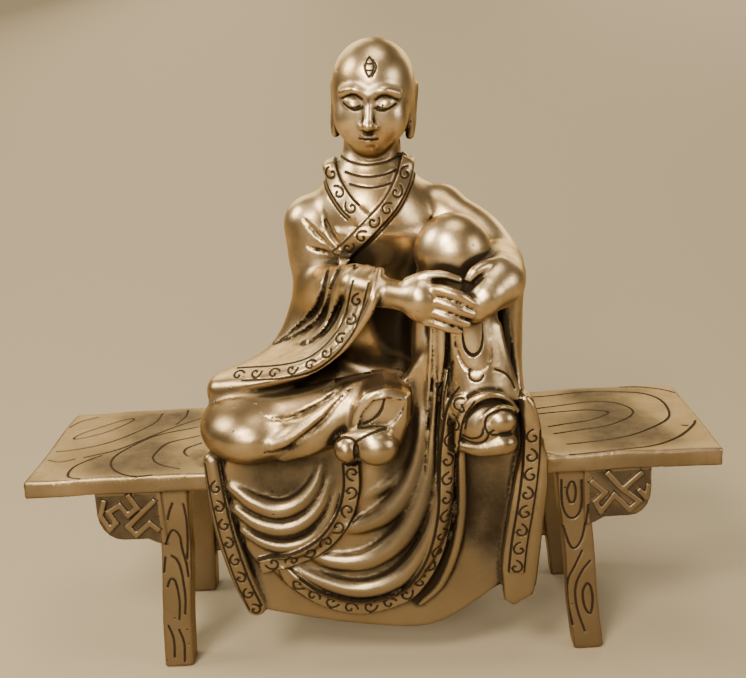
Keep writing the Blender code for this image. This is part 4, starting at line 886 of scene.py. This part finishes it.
def surface(field, low, high, step, coarse=4):
    """Points and quads of the zero level: a wide grid finds it, then the cells near it are measured."""
    wide = step * coarse
    counts = np.ceil((high - low) / wide).astype(int) + 1
    axes = [low[k] + wide * np.arange(counts[k]) for k in range(3)]
    grid = np.stack(np.meshgrid(*axes, indexing="ij"), -1)
    fine = field.distance(grid.reshape(-1, 3)).reshape(counts)
    for axis in range(3):
        share = np.arange((counts[axis] - 1) * coarse + 1) / coarse
        cell = np.minimum(share.astype(int), counts[axis] - 2)
        share = (share - cell).reshape([-1 if k == axis else 1 for k in range(3)])
        fine = np.take(fine, cell, axis) * (1 - share) + np.take(fine, cell + 1, axis) * share
    near = np.argwhere(np.abs(fine) < wide)
    fine = np.clip(fine, -wide, wide)
    fine[tuple(near.T)] = np.clip(field.distance(low + near * step), -wide, wide)
    volume = openvdb.FloatGrid(wide)
    volume.copyFromArray(np.ascontiguousarray(fine, np.float32))
    points, quads = volume.convertToQuads(0.0)
    return points * step + low, quads


def outer_shell(points, quads):
    """The largest connected shell, without inner voids."""
    label = np.arange(len(points))
    while True:
        lowest = label[quads].min(1)
        after = label.copy()
        np.minimum.at(after, quads.ravel(), np.repeat(lowest, 4))
        after = after[after]
        if (after == label).all():
            break
        label = after
    kept = label == np.bincount(label).argmax()
    number = np.cumsum(kept) - 1
    return points[kept], number[quads[kept[quads].all(1)]]


def halves(points, quads):
    """Each quad as two triangles, split along its shorter diagonal."""
    a, b, c, d = quads.T
    long = np.linalg.norm(points[a] - points[c], axis=1) > np.linalg.norm(points[b] - points[d], axis=1)
    first = np.where(long[:, None], np.stack([a, b, d], 1), np.stack([a, b, c], 1))
    second = np.where(long[:, None], np.stack([b, c, d], 1), np.stack([a, c, d], 1))
    return np.vstack([first, second])


def settled(field, points, outward):
    """Moves each point along its outward direction onto the zero level."""
    first = field.distance(points)
    move = -np.clip(first, -FIRST_MOVE, FIRST_MOVE)
    second = field.distance(points + move[:, None] * outward)
    change = np.where(np.abs(first - second) > 0.3 * np.abs(move), first - second, -move + 1e-9)
    move = move + np.clip(second * move / change, -LAST_MOVE, LAST_MOVE)
    return points + move[:, None] * outward


def facing(points, triangles):
    """The outward direction at each point."""
    corners = points[triangles]
    across = np.cross(corners[:, 1] - corners[:, 0], corners[:, 2] - corners[:, 0])
    sums = [np.bincount(triangles.ravel(), np.repeat(column, 3), len(points)) for column in across.T]
    total = np.stack(sums, 1)
    return total / np.maximum(np.linalg.norm(total, axis=1), 1e-9)[:, None]


def divided(points, triangles, wanted):
    """Halves the edges that are longer than wanted; every triangle is divided to match."""
    count = len(points)
    ends = np.sort(triangles[:, [[0, 1], [1, 2], [2, 0]]].reshape(-1, 2), axis=1)
    keys, index = np.unique(ends[:, 0] * count + ends[:, 1], return_inverse=True)
    edges = np.stack([keys // count, keys % count], 1)
    length = np.linalg.norm(points[edges[:, 0]] - points[edges[:, 1]], axis=1)
    split = length > wanted(edges, length)
    middle = np.full(len(edges), -1)
    middle[split] = count + np.arange(split.sum())
    points = np.vstack([points, points[edges[split]].mean(1)])
    middle = middle[index.reshape(-1, 3)]
    marks = (middle >= 0).sum(1)
    # Turn each triangle so that its whole edge, or its only split edge, comes in a known place.
    first = np.zeros(len(triangles), int)
    one, two = marks == 1, marks == 2
    first[one] = middle[one].argmax(1)
    first[two] = (middle[two].argmin(1) + 1) % 3
    order = (first[:, None] + np.arange(3)) % 3
    rows = np.arange(len(triangles))[:, None]
    corners, middle = triangles[rows, order], middle[rows, order]
    a, b, c = corners.T
    ab, bc, ca = middle.T
    pieces = [corners[marks == 0]]
    for chosen, fans in (
        (marks == 1, ((a, ab, c), (ab, b, c))),
        (marks == 2, ((ab, b, bc), (a, ab, bc), (a, bc, c))),
        (marks == 3, ((a, ab, ca), (ab, b, bc), (ca, bc, c), (ab, bc, ca))),
    ):
        pieces += [np.stack(fan, 1)[chosen] for fan in fans]
    return points, np.vstack(pieces)


def beside_lines(points, lines, spread):
    """How far each point is from the nearest line's edge, at most the spread."""
    found = np.full(len(points), float(spread))
    for line in lines:
        inside = np.flatnonzero(((points > line.low - spread) & (points < line.high + spread)).all(1))
        for part in np.array_split(inside, len(inside) // BATCH + 1):
            if not len(part):
                continue
            beside, behind, _ = line.gap(points[part])
            edge = np.where(behind < line.reach, beside, spread)
            found[part] = np.minimum(found[part], edge)
    return found


def refined(field, points, triangles, lines, regions, rounds=5):
    """Smaller triangles along carved lines, in the named regions and where the surface bends."""
    groups = [(GROOVE_STEP, [line for line in lines if line.width >= THIN_LINE]),
              (LINE_STEP, [line for line in lines if line.width < THIN_LINE])]
    for _ in range(rounds):
        outward = facing(points, triangles)
        size = np.full(len(points), COARSE)
        for low, high, small in regions:
            size[((points > low) & (points < high)).all(1)] = small
        gaps = [(step, beside_lines(points, group, COARSE)) for step, group in groups]

        def wanted(edges, length):
            target = size[edges].min(1)
            for step, gap in gaps:
                target = np.where(gap[edges].min(1) < length / 2, np.minimum(target, step), target)
            bend = (outward[edges[:, 0]] * outward[edges[:, 1]]).sum(1)
            return np.where((bend < SHARP_BEND) & (length > BEND_STEP), 0, target * EDGE_SLACK)

        before = len(points)
        points, triangles = divided(points, triangles, wanted)
        outward = facing(points, triangles)
        points[before:] = settled(field, points[before:], outward[before:])
    return points, triangles


def relaxed(field, points, triangles):
    """Evens out the triangles: points move towards the middle of their neighbours and back down."""
    ends = triangles[:, [0, 1, 1, 2, 2, 0]].reshape(-1, 2)
    count = np.maximum(np.bincount(ends[:, 0], minlength=len(points)), 1)[:, None]
    middle = np.stack([np.bincount(ends[:, 0], points[ends[:, 1], k], len(points)) for k in range(3)],
                      1) / count
    moved = settled(field, points + RELAX * (middle - points), facing(points, triangles))
    kept = (np.linalg.norm(moved - points, axis=1) < RELAX) & (np.abs(field.distance(moved)) < RELAX_SLIP)
    return np.where(kept[:, None], moved, points)


def hollows(field, points, outward, reaches):
    """How much of the space before each point is filled: 0 on an open surface, 1 in a crack."""
    return np.mean([np.clip(1 - field.distance(points + reach * outward) / reach, 0,
                            1) for reach in reaches], axis=0)


def sampled(grid, spots):
    """Values between the cells of a grid."""
    spots = np.clip(spots, 0, np.array(grid.shape) - 1.001)
    base = spots.astype(int)
    share = spots - base
    total = np.zeros(len(spots))
    for corner in np.ndindex(2, 2, 2):
        weight = np.where(corner, share, 1 - share).prod(1)
        total += weight * grid[tuple((base + corner).T)]
    return total


def shaded(field, low, high, points, outward):
    """How enclosed a place is: the share of clay in a soft ball in front of it."""
    counts = ((high - low) / SHADE_CELL).astype(int) + 1
    spots = low + SHADE_CELL * np.stack(np.meshgrid(*map(np.arange, counts), indexing="ij"), -1)
    clay = (field.distance(spots.reshape(-1, 3)) < 0).reshape(counts).astype(float)
    for axis in (0, 1, 2) * SHADE_SOFTNESS:
        clay = (np.roll(clay, 1, axis) + clay + np.roll(clay, -1, axis)) / 3
    return sampled(clay, (points + SHADE_REACH * outward - low) / SHADE_CELL)


def sunk(points, lines):
    """How deep in a carved groove each point is: 1 at its bottom."""
    found = np.zeros(len(points))
    for line in lines:
        inside = np.flatnonzero(((points > line.low) & (points < line.high)).all(1))
        for part in np.array_split(inside, len(inside) // BATCH + 1):
            if len(part):
                found[part] = np.maximum(found[part], line.height(points[part]) / line.rise)
    return found


def painted_shade(points, places):
    """Painted shade in named places, each a soft ball."""
    total = np.zeros(len(points))
    for middle, radii, amount in places:
        total += amount * np.clip(1.5 - 1.5 * (((points - middle) / radii) ** 2).sum(1), 0, 1)
    return total


def modelled(body, low, high, seat, regions, places=()):
    """Points, triangles and the marks for patina, painted shade and highlight: crevices, hollows, shade,
    ridges.
    """
    low, high = np.array(low, float), np.array(high, float)
    field = seat(body)
    lines = [shape for kind, shape, _ in body.steps if kind == "draw"]
    points, quads = outer_shell(*surface(field, low, high, COARSE))
    triangles = halves(points, quads)
    points = settled(field, points, facing(points, triangles))
    points = settled(field, points, facing(points, triangles))
    points, triangles = refined(field, points, triangles, [line for line in lines if line.rise < 0],
                                regions)
    for _ in range(RELAX_TURNS):
        points = relaxed(field, points, triangles)
    outward = facing(points, triangles)
    grooves = [line for line in lines if line.rise < 0 and line.width < THIN_LINE]
    # Patina and painted shade in thin engraved lines and at the bottom of wide grooves
    cut = np.clip(LINE_PATINA_AND_SHADE - beside_lines(points, grooves, 1.0) / LINE_PATINA_AND_SHADE_SPREAD, 0, 1)
    wide = [line for line in lines if line.rise < 0 and line.width >= THIN_LINE]
    cut = np.maximum(cut, GROOVE_PATINA_AND_SHADE * sunk(points, wide))
    # crevice and hollow paint patina and shade, shade is painted shade, ridge paints wear and a highlight
    return points, triangles, {
        "crevice": np.maximum(cut, hollows(field, points, outward, CREVICE_REACHES)),
        "hollow": hollows(field, points, outward, HOLLOW_REACHES),
        "shade": shaded(field, low, high, points, outward) + painted_shade(points, places),
        "ridge": 1 - np.clip(-field.distance(points - RIDGE_DEPTH * outward) / RIDGE_DEPTH, 0, 1),
    }


def cast(name, slot, points, triangles, marks):
    """The finished piece in the row frame."""
    mesh = bpy.data.meshes.new(name)
    mesh.from_pydata(((points + CLAY_PLACE) / 1000).tolist(), [], triangles.tolist())
    mesh.shade_smooth()
    for title, values in marks.items():
        mesh.attributes.new(title, "FLOAT", "POINT").data.foreach_set("value", values.astype(np.float32))
    piece = bpy.data.objects.new(name, mesh)
    bpy.context.scene.collection.objects.link(piece)
    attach(piece, "root")
    return piece


SEAT_ROOM = 0.1  # between the figure and the bench
# How dark the painted shade on the sunk fret ground is
FRET_GROUND_SHADE = 0.33


def recess_marks(points, marks):
    """Painted shade: the sunk ground of the two frets is painted dark."""
    depth = np.clip((points[:, 1] - CLAY_FRONT - BRACKET_EDGE + 0.5) / 0.35, 0, 1)
    ground = (points[:, 1] < CLAY_FRONT + BRACKET_EDGE + 0.3) & (points[:, 2] < PLANK_LOW - 0.9)
    ground &= np.abs(points[:, 0]) > LEG_TOP + 0.6
    marks["crevice"] = np.maximum(marks["crevice"], FRET_GROUND_SHADE * depth * ground)


class Seated:
    """The figure's clay with room left for the plank."""

    def __init__(self, clay):
        self.clay = clay

    def distance(self, p):
        room = np.minimum(p[:, 1] - CLAY_FRONT + SEAT_ROOM, SEAT_ROOM - p[:, 2])
        return np.maximum(self.clay.distance(p), room)


FINE_REGIONS = (
    ((-7, -16, 107), (21, 1, 145), 0.7),  # the face
    ((12, -62, 50), (57, -38, 78), 0.9),  # the hands
    ((-14, -62, 4), (17, -46, 38), 1.0),  # the right shoe
    ((30, -62, 6), (54, -46, 33), 1.0),  # the left shoe
)
FRET_REGIONS = (
    ((-103, -37, -29), (-77, -33, -5.8), 0.5),
    ((77, -37, -29), (103, -33, -5.8), 0.5),
)

# Where shade is painted darkest: middle, radii, amount
PAINTED_SHADE_PLACES = (
    ((12, -24, 52), (15, 16, 26), 0.8),  # the lap and the belly
    ((40, -38, -12), (13, 16, 30), 0.22),  # below the left shoe
    ((37, -38, -32), (15, 14, 36), 0.12),
    ((4, -16, 72), (12, 9, 8), 0.3),  # the chest under the collar
    ((-26, -46, 0), (27, 14, 12), 0.24),  # below the folded knee
    ((12, -46, -6), (13, 14, 30), 0.24),  # right of the right shoe
    ((50, -34, 40), (4, 14, 22), 0.4),  # beside the shin
    ((33, -46, 60), (12, 10, 5), 0.2),  # under the hands
)

# Materials

EDGE_TINT = (0.95, 0.80, 0.55)  # the colour of slanting reflections
MARKS = ("crevice", "hollow", "shade", "ridge")


def bronze(name, bright, warm, dark, rough, hollow_start):
    """Rubbed bronze: bright on edges (wear and painted highlight), brown in hollows and nearly black in cuts
    (patina and painted shade), darker in enclosed places and low down (painted shade), with casting pits.
    """
    material = bpy.data.materials.new(name)
    material.use_nodes = True
    nodes, links = material.node_tree.nodes, material.node_tree.links
    shader = nodes["Principled BSDF"]

    def made(kind, **settings):
        node = nodes.new(kind)
        for key, value in settings.items():
            if key in node.inputs:
                node.inputs[key].default_value = value
            else:
                setattr(node, key.lower(), value)
        return node

    def math(operation, first, second, third=None):
        node = nodes.new("ShaderNodeMath")
        node.operation = operation
        for socket, value in zip(node.inputs, (first, second, third)):
            if value is None:
                continue
            if isinstance(value, (int, float)):
                socket.default_value = value
            else:
                links.new(value, socket)
        return node.outputs[0]

    def stepped(value, low, high):
        node = nodes.new("ShaderNodeMapRange")
        node.interpolation_type = "SMOOTHSTEP"
        node.inputs["From Min"].default_value = low
        node.inputs["From Max"].default_value = high
        links.new(value, node.inputs["Value"])
        return node.outputs["Result"]

    def mixed(share, first, second):
        node = nodes.new("ShaderNodeMix")
        node.data_type = "RGBA"
        links.new(share, node.inputs[0])
        for socket, value in ((node.inputs[6], first), (node.inputs[7], second)):
            if isinstance(value, tuple):
                socket.default_value = (*value, 1)
            else:
                links.new(value, socket)
        return node.outputs[2]

    place = nodes.new("ShaderNodeTexCoord").outputs["Object"]

    def noise(scale, detail=4.0, roughness=0.6):
        node = made("ShaderNodeTexNoise", Scale=scale, Detail=detail, Roughness=roughness)
        links.new(place, node.inputs["Vector"])
        return node.outputs["Fac"]

    crevice, hollow, shade, ridge = (made("ShaderNodeAttribute",
                                          attribute_name=title).outputs["Fac"] for title in MARKS)
    clouds, grime, grit = noise(42), noise(160, 6.0, 0.7), noise(900, 3.0)
    patches = math("ADD", math("MULTIPLY_ADD", clouds, 0.5, -0.25), math("MULTIPLY_ADD", grime, 0.5, -0.25))
    # Patina and painted shade in hollows (near), in enclosed places (far) and in cuts
    near = stepped(math("ADD", hollow, math("MULTIPLY", patches, 0.6)), hollow_start, hollow_start + 0.48)
    far = stepped(math("ADD", shade, math("MULTIPLY", patches, 0.35)), 0.20, 0.52)
    cuts = stepped(math("ADD", crevice, math("MULTIPLY", patches, 0.3)), 0.12, 0.42)
    patina_and_shade = math("MAXIMUM", math("MAXIMUM", near, far), cuts)
    heights = nodes.new("ShaderNodeSeparateXYZ")
    links.new(place, heights.inputs[0])
    # Painted shade: darker towards the bottom
    level = math("ADD", heights.outputs["Z"], math("MULTIPLY_ADD", clouds, 0.06, -0.03))
    low_shade = math("SUBTRACT", 1.0, stepped(level, 0.055, 0.135))
    # Wear and a painted highlight on the ridges
    rubbed_and_highlit = stepped(ridge, 0.10, 0.5)
    colour = mixed(stepped(clouds, 0.35, 0.68), warm, bright)
    # Painted shade in enclosed places
    colour = mixed(math("MULTIPLY", stepped(shade, 0.08, 0.30), 0.85), colour,
                   tuple(0.45 * c for c in warm))
    colour = mixed(math("MULTIPLY", rubbed_and_highlit, 0.7), colour, bright)
    colour = mixed(math("MULTIPLY", stepped(grime, 0.52, 0.8), 0.4), colour, tuple(0.45 * c for c in warm))
    colour = mixed(math("MULTIPLY", low_shade, 0.85), colour, tuple(0.34 * c for c in bright))
    # Patina and painted shade take the dark colour
    colour = mixed(patina_and_shade, colour, dark)
    pits = made("ShaderNodeTexVoronoi", Scale=210.0, Randomness=1.0)
    links.new(place, pits.inputs["Vector"])
    pit_spread = stepped(noise(26), 0.50, 0.64)
    hole = math("MULTIPLY", math("SUBTRACT", 1.0, stepped(pits.outputs["Distance"], 0.05, 0.12)),
                pit_spread)
    colour = mixed(hole, colour, dark)
    links.new(colour, shader.inputs["Base Color"])
    links.new(math("MULTIPLY_ADD", patina_and_shade, -0.45, 0.98), shader.inputs["Metallic"])
    roughness = math("MULTIPLY_ADD", patina_and_shade, 0.30, rough)
    roughness = math("MULTIPLY_ADD", grime, 0.16, roughness)
    links.new(roughness, shader.inputs["Roughness"])
    first = made("ShaderNodeBump", Strength=0.35, Distance=0.00025)
    links.new(math("ADD", grime, math("MULTIPLY", grit, 0.35)), first.inputs["Height"])
    second = nodes.new("ShaderNodeBump")
    second.invert = True
    second.inputs["Strength"].default_value = 0.8
    second.inputs["Distance"].default_value = 0.0003
    links.new(hole, second.inputs["Height"])
    links.new(first.outputs["Normal"], second.inputs["Normal"])
    links.new(second.outputs["Normal"], shader.inputs["Normal"])
    shader.inputs["Specular Tint"].default_value = (*EDGE_TINT, 1)
    return material


figure_bronze = bronze("polished_bronze", (0.66, 0.50, 0.30), (0.42, 0.285, 0.14),
                       (0.022, 0.013, 0.006), 0.25, 0.13)
bench_bronze = bronze("bench_bronze", (0.56, 0.41, 0.235), (0.40, 0.27, 0.135), (0.026, 0.015, 0.008),
                      0.36, 0.18)

# The two castings

body = figure()
for line in fine_carving():
    body.draw(line)
statue_model = modelled(body, (-68, -66, -70), (68, 38, 152), Seated, FINE_REGIONS, PAINTED_SHADE_PLACES)
statue = cast("arhat_casting", "polished_bronze", *statue_model)
statue.data.materials.append(figure_bronze)
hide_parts("arhat_figure")

board = bench_clay()
for line in bench_grooves():
    board.draw(line)
seat_model = modelled(board, (-130, -40, -84), (130, 40, 4), Wavy, FRET_REGIONS)
recess_marks(seat_model[0], seat_model[2])
seat = cast("bench_casting", "bench_bronze", *seat_model)
seat.data.materials.append(bench_bronze)
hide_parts("bench")

# Camera, fitted to the photograph's view

FOCAL_PIXELS = 1075.0
FRAME_WIDTH = 746
SENSOR_MM = 36.0
PITCH, YAW, ROLL = np.radians([16.0, 1.4, -3.4])
DISTANCE = 410.58
AIM = np.array([2.626, 0, 36.775]) + CLAY_PLACE

back = np.array([np.sin(YAW) * np.cos(PITCH), -np.cos(YAW) * np.cos(PITCH), np.sin(PITCH)])
right = np.array([np.cos(YAW), np.sin(YAW), 0])
up = np.cross(back, right)
turned_right = np.cos(ROLL) * right + np.sin(ROLL) * up
turned_up = -np.sin(ROLL) * right + np.cos(ROLL) * up
camera_data = bpy.data.cameras.new("camera")
camera_data.sensor_width = SENSOR_MM
camera_data.lens = FOCAL_PIXELS * SENSOR_MM / FRAME_WIDTH
camera_data.clip_start = 0.01
camera = bpy.data.objects.new("camera", camera_data)
bpy.context.scene.collection.objects.link(camera)
columns = np.column_stack([turned_right, turned_up, back, (AIM + DISTANCE * back) / 1000])
camera.matrix_world = Matrix([*columns.tolist(), [0, 0, 0, 1]])
bpy.context.scene.camera = camera

# Floor and light


def stage_material(name, colour, rough):
    material = bpy.data.materials.new(name)
    material.use_nodes = True
    shader = material.node_tree.nodes["Principled BSDF"]
    shader.inputs["Base Color"].default_value = (*colour, 1)
    shader.inputs["Roughness"].default_value = rough
    return material


floor_mesh = bpy.data.meshes.new("floor")
near_edge, bow_start, bow, half_width = -1.6, 0.22, 1.1, 2.4
profile = [(near_edge, 0)]
profile += [(bow_start + bow * np.sin(a), bow - bow * np.cos(a)) for a in np.linspace(0, np.pi / 2, 24)]
spots = [(x, y, z) for y, z in profile for x in (-half_width, half_width)]
floor_mesh.from_pydata(spots, [],
                       [(2 * i, 2 * i + 1, 2 * i + 3, 2 * i + 2) for i in range(len(profile) - 1)])
floor_mesh.shade_smooth()
floor = bpy.data.objects.new("floor", floor_mesh)
bpy.context.scene.collection.objects.link(floor)
floor.data.materials.append(stage_material("backdrop", (0.335, 0.27, 0.172), 0.85))


def area_light(name, place, aim, size, energy, colour):
    data = bpy.data.lights.new(name, "AREA")
    data.size = size
    data.energy = energy
    data.color = colour
    made = bpy.data.objects.new(name, data)
    bpy.context.scene.collection.objects.link(made)
    made.location = place
    made.rotation_euler = (Vector(aim) - Vector(place)).to_track_quat("-Z", "Y").to_euler()


area_light("key", (-0.30, -0.60, 0.75), (0, 0, 0.12), 0.24, 10, (1, 0.91, 0.74))
area_light("left", (-0.80, 0.02, 0.78), (0, 0, 0.12), 0.38, 9, (1, 0.92, 0.76))
area_light("front", (-0.22, -1.15, 0.62), (0, 0, 0.12), 0.45, 14, (1, 0.92, 0.78))
area_light("top", (0.10, -0.05, 0.95), (0, 0, 0.12), 0.36, 2.5, (1, 0.92, 0.76))
area_light("right_fill", (0.80, -0.35, 0.40), (0, 0, 0.12), 0.35, 3.0, (1, 0.93, 0.82))
area_light("rear", (-0.3, 0.8, 0.6), (0, 0, 0.12), 0.6, 3.5, (1, 0.94, 0.80))
area_light("rear_right", (0.45, 0.9, 0.42), (0.1, 0, 0.08), 0.6, 4, (1, 0.94, 0.80))
world = bpy.data.worlds.new("world")
world.use_nodes = True
world.node_tree.nodes["Background"].inputs["Color"].default_value = (0.62, 0.52, 0.38, 1)
world.node_tree.nodes["Background"].inputs["Strength"].default_value = 0.20
bpy.context.scene.world = world
